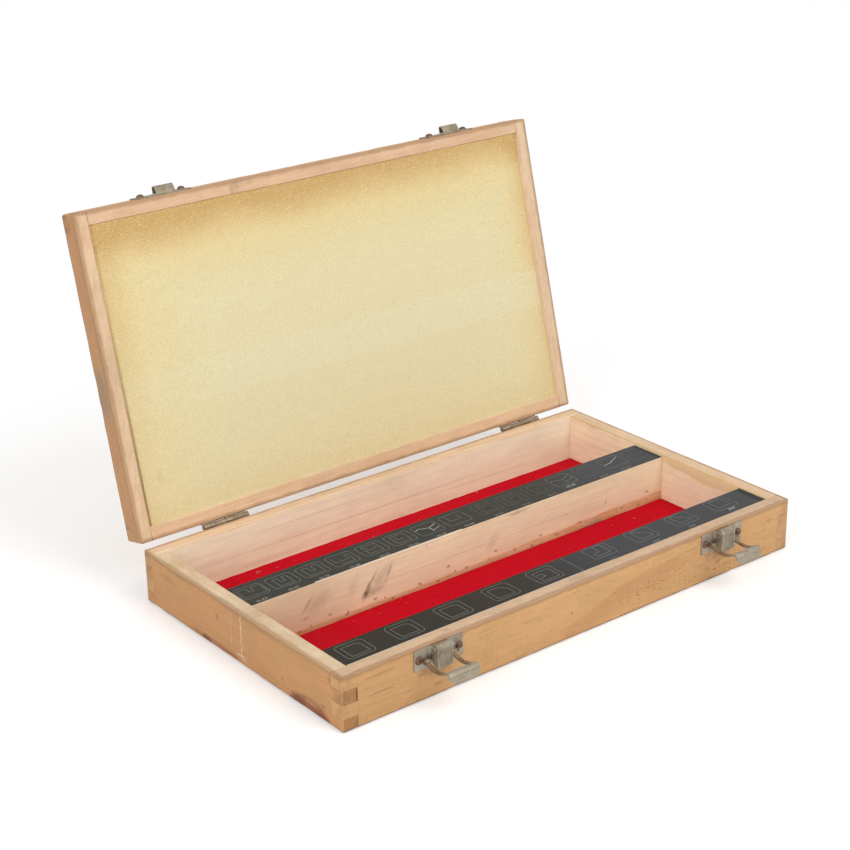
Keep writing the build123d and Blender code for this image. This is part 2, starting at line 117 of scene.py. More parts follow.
class CaseSizes(bpy.types.PropertyGroup):
    """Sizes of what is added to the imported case."""
    rim_softness: FloatProperty(
        name="Rim softness", description="Width worn round along the inner edges of the rims",
        default=1.0 * MM, min=0, unit="LENGTH")
    corner_softness: FloatProperty(
        name="Corner softness", description="Width worn round along the outer arrises",
        default=0.8 * MM, min=0, unit="LENGTH")
    wear_depth: FloatProperty(
        name="Wear depth", description="How unevenly the outer arrises are worn",
        default=0.35 * MM, min=0, unit="LENGTH")
    board_step: FloatProperty(
        name="Board step", description="Spacing of the cuts that let a board's arrises wander",
        default=7 * MM, min=1 * MM, unit="LENGTH")
    metal_softness: FloatProperty(
        name="Metal softness", description="Rounding on the edges of pressed metal",
        default=0.14 * MM, min=0, unit="LENGTH")
    foam_step: FloatProperty(
        name="Foam step", description="Spacing of the mesh on the foam's face",
        default=1.7 * MM, min=1 * MM, unit="LENGTH")
    foam_swell: FloatProperty(
        name="Foam swell", description="How far the foam's face rises toward the rim at the lid's free edge",
        default=1.6 * MM, min=0, unit="LENGTH")
    felt_step: FloatProperty(
        name="Felt step", description="Spacing of the mesh on the felts",
        default=2.4 * MM, min=1 * MM, unit="LENGTH")
    print_width: FloatProperty(
        name="Print width", description="Width of the printed outlines",
        default=0.50 * MM, min=0.1 * MM, unit="LENGTH")
    print_height: FloatProperty(
        name="Print height", description="Height of the printed outlines above the strips",
        default=0.03 * MM, min=0.005 * MM, unit="LENGTH")
    lint_count: IntProperty(
        name="Lint count", description="Loose fibres lying on the felts", default=90, min=0)


class CaseColours(bpy.types.PropertyGroup):
    """Colours of the finishes."""
    lacquer: FloatVectorProperty(
        name="Lacquered pine", description="Outside faces", subtype="COLOR", default=(0.62, 0.353, 0.159))
    lacquer_dark: FloatVectorProperty(
        name="Lacquered latewood", description="Growth rings outside", subtype="COLOR",
        default=(0.47, 0.235, 0.095))
    raw: FloatVectorProperty(
        name="Raw pine", description="Inside faces", subtype="COLOR", default=(0.88, 0.70, 0.53))
    raw_dark: FloatVectorProperty(
        name="Raw latewood", description="Growth rings inside", subtype="COLOR",
        default=(0.78, 0.54, 0.38))
    rim: FloatVectorProperty(
        name="Rim", description="Handled rims", subtype="COLOR", default=(0.80, 0.58, 0.39))
    end_grain: FloatVectorProperty(
        name="End grain", description="Ends of the fingers", subtype="COLOR", default=(0.31, 0.15, 0.05))
    ply: FloatVectorProperty(
        name="Plywood", description="Bottom and lid panels", subtype="COLOR", default=(0.72, 0.48, 0.26))
    felt: FloatVectorProperty(
        name="Felt", description="Felt on the floor of both bays", subtype="COLOR",
        default=(0.55, 0.003, 0.013))
    foam: FloatVectorProperty(
        name="Foam", description="Middle of the foam", subtype="COLOR", default=(0.92, 0.83, 0.50))
    foam_aged: FloatVectorProperty(
        name="Aged foam", description="Edges of the foam", subtype="COLOR", default=(0.715, 0.465, 0.182))
    strip: FloatVectorProperty(
        name="Printed ground", description="Ground of both strips", subtype="COLOR",
        default=(0.032, 0.0365, 0.040))
    ink: FloatVectorProperty(
        name="Pale ink", description="Outlines and numbers", subtype="COLOR", default=(0.19, 0.19, 0.182))
    nickel: FloatVectorProperty(
        name="Nickel", description="Latches and keepers", subtype="COLOR", default=(0.345, 0.305, 0.228))
    bronze: FloatVectorProperty(
        name="Bronze", description="Hinges", subtype="COLOR", default=(0.34, 0.27, 0.18))
    rust: FloatVectorProperty(
        name="Rust", description="Screws, nails and bitten edges", subtype="COLOR",
        default=(0.10, 0.045, 0.03))


class CaseStage(bpy.types.PropertyGroup):
    """Camera, lamps and floor."""
    lens: FloatProperty(name="Lens", description="Focal length in millimetres", default=82.44)
    azimuth: FloatProperty(
        name="Azimuth", description="Camera's turn round the case", default=math.radians(-38.06),
        subtype="ANGLE")
    elevation: FloatProperty(
        name="Elevation", description="Camera above the horizon", default=math.radians(22.43), subtype="ANGLE")
    roll: FloatProperty(name="Roll", description="Camera's tilt", default=math.radians(-1.05), subtype="ANGLE")
    distance: FloatProperty(
        name="Distance", description="Camera from its target", default=1.7274, unit="LENGTH")
    target: FloatVectorProperty(
        name="Target", description="Where the camera looks", default=(0.1535, 0.2519, 0.0),
        subtype="TRANSLATION")
    key_power: FloatProperty(name="Key lamp", description="Watts", default=36.0)
    fill_power: FloatProperty(name="Fill lamp", description="Watts", default=21.5)
    room_light: FloatProperty(name="Room light", description="Even light from all round", default=0.675)
    floor_lift: FloatProperty(
        name="Floor lift", description="Light that the camera and reflections see on the floor near the case",
        default=0.26)
    floor: FloatVectorProperty(
        name="Floor", description="Floor colour", subtype="COLOR", default=(0.86, 0.86, 0.86))


# ---- modelling helpers ----

def activate(obj):
    """Leaves obj alone selected and active."""
    bpy.ops.object.select_all(action="DESELECT")
    obj.select_set(True)
    bpy.context.view_layer.objects.active = obj


def edit(obj):
    activate(obj)
    bpy.ops.object.mode_set(mode="EDIT")
    bpy.ops.mesh.select_all(action="SELECT")


def leave_edit():
    bpy.ops.object.mode_set(mode="OBJECT")


def choose(obj, kind, test):
    """In edit mode, selects the faces, edges or vertices that pass a test."""
    bpy.ops.mesh.select_all(action="DESELECT")
    bpy.ops.mesh.select_mode(type=kind)
    shape = bmesh.from_edit_mesh(obj.data)
    parts = {"FACE": shape.faces, "EDGE": shape.edges, "VERT": shape.verts}[kind]
    for part in parts:
        if test(part):
            part.select_set(True)
    shape.select_flush_mode()
    bmesh.update_edit_mesh(obj.data)


def bake_place(obj, matrix=STAY):
    """Puts an object's place, and then a matrix, into its mesh."""
    bpy.context.view_layer.update()
    obj.data.transform(matrix @ obj.matrix_world)
    obj.matrix_world = STAY


def outward(obj):
    """Turns all faces outwards."""
    edit(obj)
    bpy.ops.mesh.normals_make_consistent(inside=False)
    leave_edit()


def smooth(obj, angle=35.0):
    """Shades smooth up to an angle in degrees."""
    activate(obj)
    bpy.ops.object.shade_smooth_by_angle(angle=math.radians(angle))


def join(pieces, name):
    """Joins pieces into one named object."""
    bpy.ops.object.select_all(action="DESELECT")
    for piece in pieces:
        piece.select_set(True)
    bpy.context.view_layer.objects.active = pieces[0]
    if len(pieces) > 1:
        bpy.ops.object.join()
    whole = bpy.context.view_layer.objects.active
    whole.name = name
    return whole


def copy_of(obj, matrix):
    """A copy with its own mesh, moved by a matrix."""
    twin = obj.copy()
    twin.data = obj.data.copy()
    bpy.context.scene.collection.objects.link(twin)
    twin.data.transform(matrix)
    return twin


def discard(obj):
    bpy.data.objects.remove(obj)


def added(operator, **options):
    """Runs an operator that adds an object, and gives that object."""
    bpy.ops.object.select_all(action="DESELECT")
    operator(**options)
    return bpy.context.view_layer.objects.active


def linked(name, data):
    """A new object with its data, in the scene."""
    obj = bpy.data.objects.new(name, data)
    bpy.context.scene.collection.objects.link(obj)
    return obj


def as_mesh(obj):
    """Turns a curve or a text into a mesh."""
    activate(obj)
    bpy.ops.object.convert(target="MESH")
    return bpy.context.view_layer.objects.active


def apply_modifier(obj, kind, **settings):
    """Shapes an object by a modifier."""
    activate(obj)
    modifier = obj.modifiers.new(kind, kind)
    for key, value in settings.items():
        setattr(modifier, key, value)
    bpy.ops.object.modifier_apply(modifier=modifier.name)


def cut_across(axis, low, high, count):
    """In edit mode, cuts the mesh into equal lengths along an axis."""
    for i in range(1, count):
        at = [0.0, 0.0, 0.0]
        at[axis] = low + (high - low) * i / count
        bpy.ops.mesh.select_all(action="SELECT")
        bpy.ops.mesh.bisect(plane_co=at, plane_no=[float(k == axis) for k in range(3)])


def weld(threshold):
    """In edit mode, merges points that lie together and leaves edit mode."""
    bpy.ops.mesh.select_all(action="SELECT")
    bpy.ops.mesh.remove_doubles(threshold=threshold)
    leave_edit()


def close_mesh():
    """In edit mode, closes the open end of a mesh, turns its faces outwards and leaves edit mode."""
    bpy.ops.mesh.select_all(action="DESELECT")
    bpy.ops.mesh.select_mode(type="EDGE")
    bpy.ops.mesh.select_non_manifold()
    bpy.ops.mesh.edge_face_add()
    bpy.ops.mesh.select_all(action="SELECT")
    bpy.ops.mesh.normals_make_consistent(inside=False)
    leave_edit()


def paint(obj, *materials):
    """Gives an object its materials."""
    obj.data.materials.clear()
    for material in materials:
        obj.data.materials.append(material)


def stand_for(obj, node, body):
    """Hangs a new piece on the body that it rides on and hides the node that it replaces."""
    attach(obj, body)
    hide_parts(node)


def body_of_node(node):
    return next(b for b, nodes in frame["record"]["behaviour"]["bodies"].items() if node in nodes)


def welded_copy(node, name, matrix=STAY):
    """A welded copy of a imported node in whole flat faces, free to be shaped."""
    obj = linked(name, frame["nodes"][node].data.copy())
    obj.data.transform(matrix)
    edit(obj)
    bpy.ops.mesh.customdata_custom_splitnormals_clear()
    bpy.ops.mesh.remove_doubles(threshold=0.002 * MM)
    bpy.ops.mesh.dissolve_limited(angle_limit=math.radians(0.5))
    leave_edit()
    return obj


def islands(node, matrix=STAY):
    """Lowest and highest corner of each separate solid of a node, left to right."""
    obj = welded_copy(node, "islands", matrix)
    shape = bmesh.new()
    shape.from_mesh(obj.data)
    boxes = []
    left = set(shape.verts)
    while left:
        front = [left.pop()]
        found = []
        while front:
            vert = front.pop()
            found.append(vert.co.copy())
            for edge in vert.link_edges:
                other = edge.other_vert(vert)
                if other in left:
                    left.remove(other)
                    front.append(other)
        boxes.append(corners(found))
    shape.free()
    discard(obj)
    return sorted(boxes, key=lambda b: (round(b[0].x, 5), b[0].z))



# ---- shader helpers ----

GROUPS = {}     # the shared shader groups, once make_groups has run


class Value:
    """What a shader node gives out. Arithmetic on it adds Math nodes."""

    def __init__(self, t, socket):
        self.t = t
        self.socket = socket

    def __add__(self, other):
        return self.t.math("ADD", self, other)

    def __sub__(self, other):
        return self.t.math("SUBTRACT", self, other)

    def __rsub__(self, other):
        return self.t.math("SUBTRACT", other, self)

    def __mul__(self, other):
        return self.t.math("MULTIPLY", self, other)

    def __truediv__(self, other):
        return self.t.math("DIVIDE", self, other)

    def __gt__(self, other):
        return self.t.math("GREATER_THAN", self, other)

    def __lt__(self, other):
        return self.t.math("LESS_THAN", self, other)

    def __abs__(self):
        return self.t.math("ABSOLUTE", self)

    __radd__ = __add__
    __rmul__ = __mul__


class Outputs:
    """The outputs of a node by name or number, each as a value."""

    def __init__(self, t, sockets):
        self.t = t
        self.sockets = sockets

    def __getitem__(self, key):
        return Value(self.t, self.sockets[key])


class Tree:
    """Adds shader nodes to a tree and wires them."""

    def __init__(self, tree):
        self.tree = tree

    def plug(self, socket, value):
        """Links a value into a socket, or sets a plain number or colour on it."""
        if isinstance(value, Value):
            self.tree.links.new(value.socket, socket)
        elif socket.type == "RGBA":
            socket.default_value = (*value[:3], 1)
        else:
            socket.default_value = value

    def fill(self, node, inputs):
        for key, value in inputs.items():
            self.plug(node.inputs[key], value)
        return Outputs(self, node.outputs)

    def add(self, kind, inputs, **settings):
        node = self.tree.nodes.new("ShaderNode" + kind)
        for key, value in settings.items():
            setattr(node, key, value)
        return self.fill(node, inputs)

    def group(self, name, **inputs):
        """Adds one of the shared groups. Its inputs are named with _ for spaces."""
        node = self.tree.nodes.new("ShaderNodeGroup")
        node.node_tree = GROUPS[name]
        return self.fill(node, {key.replace("_", " "): value for key, value in inputs.items()})

    def math(self, operation, a, b=0.0):
        return self.add("Math", {0: a, 1: b}, operation=operation)[0]

    def clamp(self, value):
        """Keeps the sum that made a value between 0 and 1."""
        value.socket.node.use_clamp = True
        return value

    def least(self, *values):
        return functools.reduce(lambda a, b: self.math("MINIMUM", a, b), values)

    def most(self, *values):
        return functools.reduce(lambda a, b: self.math("MAXIMUM", a, b), values)

    def from_point(self, vector, point):
        return self.add("VectorMath", {0: vector, 1: point}, operation="SUBTRACT")["Vector"]

    def length(self, vector):
        return self.add("VectorMath", {0: vector}, operation="LENGTH")["Value"]

    def ramp(self, value, low, high, to_low=0.0, to_high=1.0):
        """Smooth step from low to high."""
        return self.add("MapRange", {0: value, 1: low, 2: high, 3: to_low, 4: to_high},
                        interpolation_type="SMOOTHSTEP")[0]

    def noise(self, vector, scale, detail=2.0, rough=0.5, distortion=0.0):
        return self.add("TexNoise", {"Vector": vector, "Scale": scale, "Detail": detail, "Roughness": rough,
                                     "Distortion": distortion})["Fac"]

    def drawn(self, vector, along, across, detail=2.0, rough=0.5):
        """Noise drawn out along X."""
        return self.noise(self.stretch(vector, (along, across, across)), 1.0, detail, rough)

    def cells(self, vector, scale):
        """Round cells: distance from the middle of each, and a chance that is its own."""
        cells = self.add("TexVoronoi", {"Vector": vector, "Scale": scale})
        return cells["Distance"], self.add("SeparateColor", {0: cells["Color"]})[0]

    def stretch(self, vector, scale=(1, 1, 1), shift=(0, 0, 0)):
        return self.add("Mapping", {"Vector": vector, "Location": shift, "Scale": scale})[0]

    def mix(self, factor, a, b, blend="MIX"):
        """Mixes two colours. Its colour sockets are inputs 6 and 7 and output 2."""
        return self.add("Mix", {0: factor, 6: a, 7: b}, data_type="RGBA", blend_type=blend)[2]

    def shade(self, colour, tone):
        """Darkens or lightens a colour by a tone."""
        return self.mix(1.0, colour, self.join(tone, tone, tone), "MULTIPLY")

    def parts(self, vector):
        made = self.add("SeparateXYZ", {0: vector})
        return made[0], made[1], made[2]

    def join(self, x, y, z):
        return self.add("CombineXYZ", {0: x, 1: y, 2: z})[0]

    def bump(self, height, distance, strength):
        return self.add("Bump", {"Height": height, "Distance": distance, "Strength": strength})[0]


def shader_group(name, inputs, outputs, build):
    """A node group with named sockets. build returns what feeds each output."""
    tree = bpy.data.node_groups.new(name, "ShaderNodeTree")
    for label, kind, default in (("Position", "Vector", None), *inputs):
        socket = tree.interface.new_socket(label, in_out="INPUT", socket_type="NodeSocket" + kind)
        if default is not None:
            socket.default_value = default
    for label in outputs:
        tree.interface.new_socket(label, in_out="OUTPUT", socket_type="NodeSocketFloat")
    start = tree.nodes.new("NodeGroupInput")
    end = tree.nodes.new("NodeGroupOutput")
    t = Tree(tree)
    made = build(t, Outputs(t, start.outputs))
    for label in outputs:
        t.plug(end.inputs[label], made[label])
    return tree


def build_wood_grain(t, i):
    """Growth rings round a wandering pith along X, resin flecks, fibres and slow clouding."""
    place = i["Position"]
    x, y, z = t.parts(t.from_point(place, i["Pith"]))
    drift = t.stretch(place, (3.1, 9.0, 9.0))
    bend_y = t.noise(drift, 1.0) - 0.5
    bend_z = t.noise(t.stretch(drift, shift=(7.3, 2.9, 5.1)), 1.0) - 0.5
    radius = t.length(t.join(0.0, bend_y * i["Bend"] + y, bend_z * i["Bend"] + z))
    turn = t.math("FRACT", radius / i["Ring Pitch"])
    late = t.math("POWER", turn, 1.7) * t.ramp(turn, 1.0, 0.78)
    rings = late * t.ramp(t.drawn(place, 6.0, 70.0), 0.30, 0.70, 0.10, 1.0)
    x, y, z = t.parts(place)
    shift = x * i["Slope"]
    sloped = t.join(x, y + shift, z + shift)
    distance, chance = t.cells(t.stretch(sloped, (190.0, 1500.0, 1500.0)), 1.0)
    patch = t.ramp(t.drawn(place, 14.0, 45.0), 0.35, 0.75, 0.0, 0.55)
    return {"Rings": rings, "Flecks": t.ramp(distance, 0.40, 0.12) * (chance + patch > 1.02),
            "Fibres": t.drawn(sloped, 38.0, 1500.0, 3.0, 0.6), "Clouds": t.drawn(place, 26.0, 60.0, 4.0, 0.62),
            "Streaks": t.ramp(t.drawn(sloped, 17.0, 330.0, 4.0, 0.62), 0.40, 0.68)}


def case_sides(t, i):
    """How far inside the case's ends and its front and back a point lies, and its height."""
    x, y, z = t.parts(i["Position"])
    return i["Half Length"] - abs(x), i["Half Depth"] - abs(y), z


def build_case_places(t, i):
    """Where a point of a board lies: outside faces, rim, rim edge, back edge, upright corner."""
    side_x, side_y, z = case_sides(t, i)
    wander = t.noise(i["Position"], 90.0, 3.0) * 0.0016 - 0.0008
    side = t.most(t.least(side_x, side_y), 0.0)
    other = t.most(side_x, side_y, 0.0)
    flat = abs(z - i["Back Height"])
    to_rim = abs(z - i["Rim Height"])
    return {"Outside": t.ramp(t.least(side, flat) + wander, 0.0022, 0.0006),
            "Rim": t.ramp(to_rim + wander, 0.0014, 0.0004),
            "Brow": t.ramp(to_rim + side + wander * 1.6, 0.0040, 0.0012),
            "Foot": t.ramp(flat + side + wander, 0.0025, 0.0011),
            "Corner": t.ramp(other + wander * 3.0, 0.013, 0.0015)}


def build_grime(t, i):
    """Patches of handling dirt, rubbed mottling and a few darker spots."""
    place = i["Position"]
    broad = t.ramp(t.noise(place, 13.0, 4.0, 0.6), 0.48, 0.72)
    fine = t.ramp(t.noise(place, 240.0, 3.0, 0.65), 0.52, 0.74)
    distance, chance = t.cells(place, 95.0)
    return {"Patches": broad * (fine * 0.6 + 0.4), "Spots": t.ramp(distance, 0.10, 0.04) * (chance > 0.93),
            "Rubbed": t.ramp(t.noise(place, 85.0, 4.0, 0.65), 0.42, 0.70)}


def build_joint_lines(t, i):
    """Thin dark lines where the fingers of two boards meet, and where they butt on the rim."""
    side_x, side_y, z = case_sides(t, i)
    on_front, on_end = side_y < 0.003, side_x < 0.003
    gap_front = abs(side_x - i["End Thickness"])
    gap_end = abs(side_y - i["Front Thickness"])
    shoulder = on_front * t.ramp(gap_front, 0.00042, 0.00012) + on_end * t.ramp(gap_end, 0.00042, 0.00012)
    step = t.math("FRACT", (z - i["Low"]) / i["Finger"])
    apart = (0.5 - abs(step - 0.5)) * i["Finger"]
    inside = t.most(on_front * (side_x < i["End Thickness"]), on_end * (side_y < i["Front Thickness"]))
    across = inside * t.ramp(apart, 0.00036, 0.0001)
    broken = t.ramp(t.noise(i["Position"], 160.0), 0.38, 0.62, 0.25, 1.0)
    butt = t.ramp(gap_front, 0.00045, 0.00015) * (side_y < i["Front Thickness"])
    return {"Line": t.clamp(t.most(shoulder, across) * broken), "Butt": t.clamp(butt * broken)}


def build_nap(t, i):
    """Short felt nap: mottling, height and pale specks of lint."""
    place = i["Position"]
    tufts = t.noise(place, 520.0, 3.0, 0.75, 0.4)
    fine = t.noise(place, 1400.0, 3.0, 0.7, 0.6)
    distance, chance = t.cells(place, 210.0)
    return {"Tone": tufts * 0.55 + t.noise(place, 60.0, 3.0, 0.6) * 0.20 + fine * 0.25,
            "Height": fine * 0.5 + tufts * 0.7, "Lint": t.ramp(distance, 0.09, 0.03) * (chance > 0.95)}


def build_foam_cells(t, i):
    """Open cells of foam: pits and a mask for their painted shade, thin bright struts, sparks of light and slow
    mottling.
    """
    place, scale = i["Position"], i["Cell Scale"]
    walls = t.add("TexVoronoi", {"Vector": place, "Scale": scale}, feature="DISTANCE_TO_EDGE")
    small = t.add("TexVoronoi", {"Vector": place, "Scale": scale * 1.7})
    pit = t.ramp(small["Distance"], 0.15, 0.55)
    distance, chance = t.cells(place, scale * 0.85)
    return {"Height": t.ramp(walls["Distance"], 0.13, 0.03) * 0.5 + pit * 0.6, "Pits": pit,
            "Sparks": t.ramp(distance, 0.42, 0.14) * t.ramp(chance, 0.15, 0.95),
            "Mottle": t.noise(place, 480.0, 3.0, 0.7)}


def build_tarnish(t, i):
    """Clouded plate, rust creeping from spots, and fine scratches."""
    place = i["Position"]
    speck = t.noise(place, 700.0, 3.0, 0.6)
    creep = t.noise(t.stretch(place, shift=(3.1, 1.7, 2.2)), 210.0, 4.0, 0.7)
    return {"Cloud": t.ramp(t.noise(place, 120.0, 4.0, 0.62), 0.34, 0.68),
            "Rust": t.ramp(creep, i["Rust From"], 0.80) * t.ramp(speck, 0.3, 0.6),
            "Scratches": t.noise(t.stretch(place, (260.0, 2600.0, 4200.0)), 1.0, 2.0, 0.6), "Speckle": speck}


def make_groups():
    """The effects that several finishes share."""
    halves = [("Half Length", "Float", HALF_L), ("Half Depth", "Float", HALF_D)]
    for key, name, inputs, outputs, build in (
            ("grain", "Wood grain",
             [("Pith", "Vector", (0, 0, 0)), ("Bend", "Float", 0.02), ("Ring Pitch", "Float", 0.004),
              ("Slope", "Float", 0.05)], ("Rings", "Flecks", "Fibres", "Clouds", "Streaks"), build_wood_grain),
            ("places", "Case places", halves + [("Rim Height", "Float", RIM), ("Back Height", "Float", 0.0)],
             ("Outside", "Rim", "Brow", "Foot", "Corner"), build_case_places),
            ("grime", "Grime", [], ("Patches", "Spots", "Rubbed"), build_grime),
            ("joints", "Joint lines",
             halves + [("End Thickness", "Float", 0.0125), ("Front Thickness", "Float", 0.012),
                       ("Low", "Float", 0.0), ("Finger", "Float", 0.01)], ("Line", "Butt"), build_joint_lines),
            ("nap", "Felt nap", [], ("Tone", "Height", "Lint"), build_nap),
            ("cells", "Foam cells", [("Cell Scale", "Float", 900.0)], ("Height", "Pits", "Sparks", "Mottle"),
             build_foam_cells),
            ("tarnish", "Tarnish", [("Rust From", "Float", 0.6)], ("Cloud", "Rust", "Scratches", "Speckle"),
             build_tarnish)):
        GROUPS[key] = shader_group(name, inputs, outputs, build)


def new_material(name, lid=False):
    """A material, the helper that fills it, and the place and normal of its surface with the lid shut."""
    material = bpy.data.materials.new(name)
    material.use_nodes = True
    t = Tree(material.node_tree)
    source = t.add("TexCoord", {})
    place, normal = source["Object"], source["Normal"]
    if lid:
        place, normal = (t.add("VectorRotate", {"Vector": vector, "Center": pivot, "Angle": LID_ANGLE},
                               rotation_type="X_AXIS")[0]
                         for vector, pivot in ((place, LID_PIVOT), (normal, (0, 0, 0))))
    return material, t, place, normal


def principled(t):
    return next(n for n in t.tree.nodes if n.type == "BSDF_PRINCIPLED")


def feed(t, **sockets):
    """Links or sets sockets of the material's shader by name, with _ for spaces."""
    for key, value in sockets.items():
        t.plug(principled(t).inputs[key.replace("_", " ")], value)


def blob(t, place, centre, reach, ragged=0.35, seed=0.0, soft=0.65):
    """Patch: 1 at its centre, 0 beyond its reach along X, Y and Z, with a soft or firm edge."""
    scaled = t.stretch(t.from_point(place, centre), tuple(1 / r for r in reach))
    rough = t.noise(t.stretch(place, shift=(seed, seed, seed)), 260.0, 3.0, 0.6)
    return t.ramp(rough * (ragged * 2) + t.length(scaled), 1.0 + ragged, 1.0 - soft + ragged)


def stain(t, place, colour, centre, reach, strength, tint, **shape):
    """Mixes a tint into the colour over a blob."""
    return t.mix(blob(t, place, centre, reach, **shape) * strength, colour, tint)


def stains(t, place, colour, tint, spots, at, across):
    """Stains on an upright face, in millimetres.

    Each spot: along, height, half width, half height, strength, and its raggedness and softness if they
    aren't the usual ones. across is the axis that the face looks along, at its place on that axis."""
    for along, up, wide, tall, strength, *edge in spots:
        centre = (along * MM, at, up * MM) if across == "y" else (at, along * MM, up * MM)
        reach = (wide * MM, SKIN, tall * MM) if across == "y" else (SKIN, wide * MM, tall * MM)
        shape = {"ragged": edge[0], "soft": edge[1]} if edge else {}
        colour = stain(t, place, colour, centre, reach, strength, tint, seed=along * MM * 31, **shape)
    return colour


def rim_stain(t, place, colour, spot, tint, **shape):
    """A soft stain on a rim, in millimetres: x, y, half length, half width, strength."""
    x, y, long, wide, strength = spot
    return stain(t, place, colour, (x * MM, y * MM, RIM), (long * MM, wide * MM, 3 * MM), strength, tint,
                 soft=0.9, **shape)


def scratch(t, place, colour, at, low, high, width, strength):
    """A thin pale scratch up the left wall that wavers a little, in millimetres."""
    y, z = t.parts(place)[1:]
    at, low, high, width = at * MM, low * MM, high * MM, width * MM
    wobble = 2.4 * MM
    sway = t.noise(t.join(at * 40, 0.0, z), 150.0) * wobble + (at - wobble / 2)
    line = t.ramp(abs(y - sway), width * 1.5, width * 0.4) * t.ramp(t.noise(place, 420.0), 0.30, 0.6)
    ends = t.ramp(z, low, low + 3 * MM) * t.ramp(z, high, high - 3 * MM)
    return t.mix(line * ends * strength, colour, PALE_SCRATCH)


def on_face(t, value, at):
    """1 on the face that lies at a place on one axis."""
    return t.ramp(abs(value - at), 0.002, 0.0005)


# ---- marks that single boards carry ----

PALE_SCRATCH = (0.80, 0.60, 0.42)
RIM_DIRT = (0.38, 0.27, 0.19)
LEFT_WALL_STAINS = (
    # knots, their hearts, the pale wood round them, dirt
    ((0.31, 0.10, 0.037), ((-85.7, 0, 25.5, 12.4, .95, .10, .35), (30, 3, 42, 3.6, .6), (12, 2.8, 20, 3, .35))),
    ((0.17, 0.06, 0.03), ((-70, 2, 12.5, 7, .8), (-99, 1.5, 12, 4.5, .6), (-85, .5, 24, 3.2, .7),
                          (40, 2.8, 8.5, 3.6, .85))),
    ((0.62, 0.36, 0.17), ((-86, 7.5, 11, 2.8, .4),)),
    ((0.26, 0.15, 0.07), ((25, 26.2, 2.4, 3.6, .55), (-114, 35, 9.5, 8, .75), (-116, 20, 7, 10, .5),
                          (-100, 11, 3.4, 1.8, .65), (115, 32, 5, 6.5, .65), (114, 15, 6.5, 11, .48),
                          (-54, 11, 3, 2.2, .4), (90, 30, 18, 4, .25), (-25, 37.5, 50, 2.2, .3),
                          (70, 38, 30, 1.8, .3))),
)
FRONT_RIM_SPOTS = (
    (-124, -119, 9, 4.5, .5), (-118, -114, 4, 3, .4), (-2, -115, 13, 5, .36), (-80, -116, 6, 5, .26),
    (125, -114, 5, 5, .22), (200, -117, 6, 5, .4), (-30, -119.5, 50, 1.6, .45), (30, -119.5, 60, 1.2, .4),
    (-200, -116, 3, 2, .4))
PIN_HOLES = ((-12.1, 19.9, .9, .9, .9, .2, .4), (-6.7, 35.6, 1, .7, .6), (29, 22.2, 1.2, .6, .6),
             (14, 29.8, 1, .8, .35), (126, 1.2, 4.6, 1.4, .75), (24, 1, 2, 1, .5))
FRONT_STREAKS = (
    (-180, 33.5, 17, 1, .45), (-178, 20.5, 13, .9, .45), (-190, 26.2, 4, .7, .4), (-143, 20.8, 4.5, 3, .42),
    (-132, 8.5, 5, 1.6, .4), (-156, 12, 8, .8, .35), (-90, 33.5, 10, .8, .3), (-52, 27, 7, .9, .26),
    (150, 25, 4.5, 1.2, .3), (188, 30, 6, .9, .4), (133, 13, 3.5, 2.2, .4), (123, 10.5, 2.5, 1.8, .4),
    (85, 30, 13, .5, .45), (105, 31.8, 13, .5, .45))
RESIN_DASHES = (
    (34.2, 13.2), (43.4, 13.4), (50.5, 15.2), (55.5, 16.5), (63.3, 19.8), (36.3, 10.6), (52.0, 12.6), (53.4, 9.2),
    (80.9, 22.1), (88.0, 22.3), (93.7, 20.1), (76.0, 16.1), (97.3, 22.7), (-9.5, 35.0), (3.0, 29.0), (68.0, 12.0))
DIVIDER_SMUDGES = (
    # x, z, half width, half height, lean, strength
    (-95.5, 22.5, 2.4, 12.5, .8, .62), (-98.5, 16, 4.5, 7.5, .5, .8), (-94, 15, 8, 5, .6, .38),
    (-87, 23, 12, 14, .7, .24), (-77.5, 28, 2.4, 9.5, .5, .34), (-84, 17, 4, 6, .9, .24),
    (-150, 24, 2.6, 10.5, .8, .4), (-140, 23, 13, 11, .8, .25), (-152, 14, 5.5, 2.2, .2, .42),
    (-110, 25, 7, 12, .3, .14), (20, 20, 7, 11, .6, .16), (45, 36.5, 18, 2.4, 0, .34))
NAIL_RUST = (
    (-158, 5), (-131, 10), (-116, 5), (-91, 9), (-75, 4), (-50, 7.6), (-33, 4), (-23, 13), (-6, 6.4), (23, 11),
    (42, 6.4), (59, 4), (68, 10), (85, 5.3), (109, 8.3), (154, 7), (181, 13.6), (172, 4.5))
LID_STILE_DIRT = ((-114, 55, 10, 6.5, .6), (8, 54, 26, 12, .34), (115, 56, 9, 5, .6), (-60, 59, 60, 2, .6),
                  (50, 59.2, 60, 1.8, .6), (-20, 42, 50, 1.2, .3))


def left_wall_marks(t, place, colour, grain):
    """Knots cut by the foot, pale scratches, dirt at the corners and one open joint."""
    colour = t.mix(t.ramp(t.noise(place, 30.0, 4.0, 0.6), 0.40, 0.70) * 0.42, colour, (0.455, 0.275, 0.105))
    for tint, spots in LEFT_WALL_STAINS:
        colour = stains(t, place, colour, tint, spots, -HALF_L, "x")
    colour = scratch(t, place, colour, -5.0, 5, 40, 0.8, 0.68)
    colour = scratch(t, place, colour, 7.6, 7, 38, 0.5, 0.36)
    colour = stains(t, place, colour, PALE_SCRATCH, ((-3.5, 7.2, 9.5, 1.4, .55), (-7.5, 5, 4, 1, .5)), -HALF_L, "x")
    x, y, z = t.parts(place)
    gap = t.ramp(abs(x - OPEN_JOINT.x), 0.0007, 0.0003) * t.ramp(abs(z - OPEN_JOINT.z), 0.0052, 0.0046)
    return t.mix(gap * t.ramp(y, -HALF_D + 0.002, -HALF_D + 0.001) * 0.90, colour, (0.10, 0.042, 0.018))


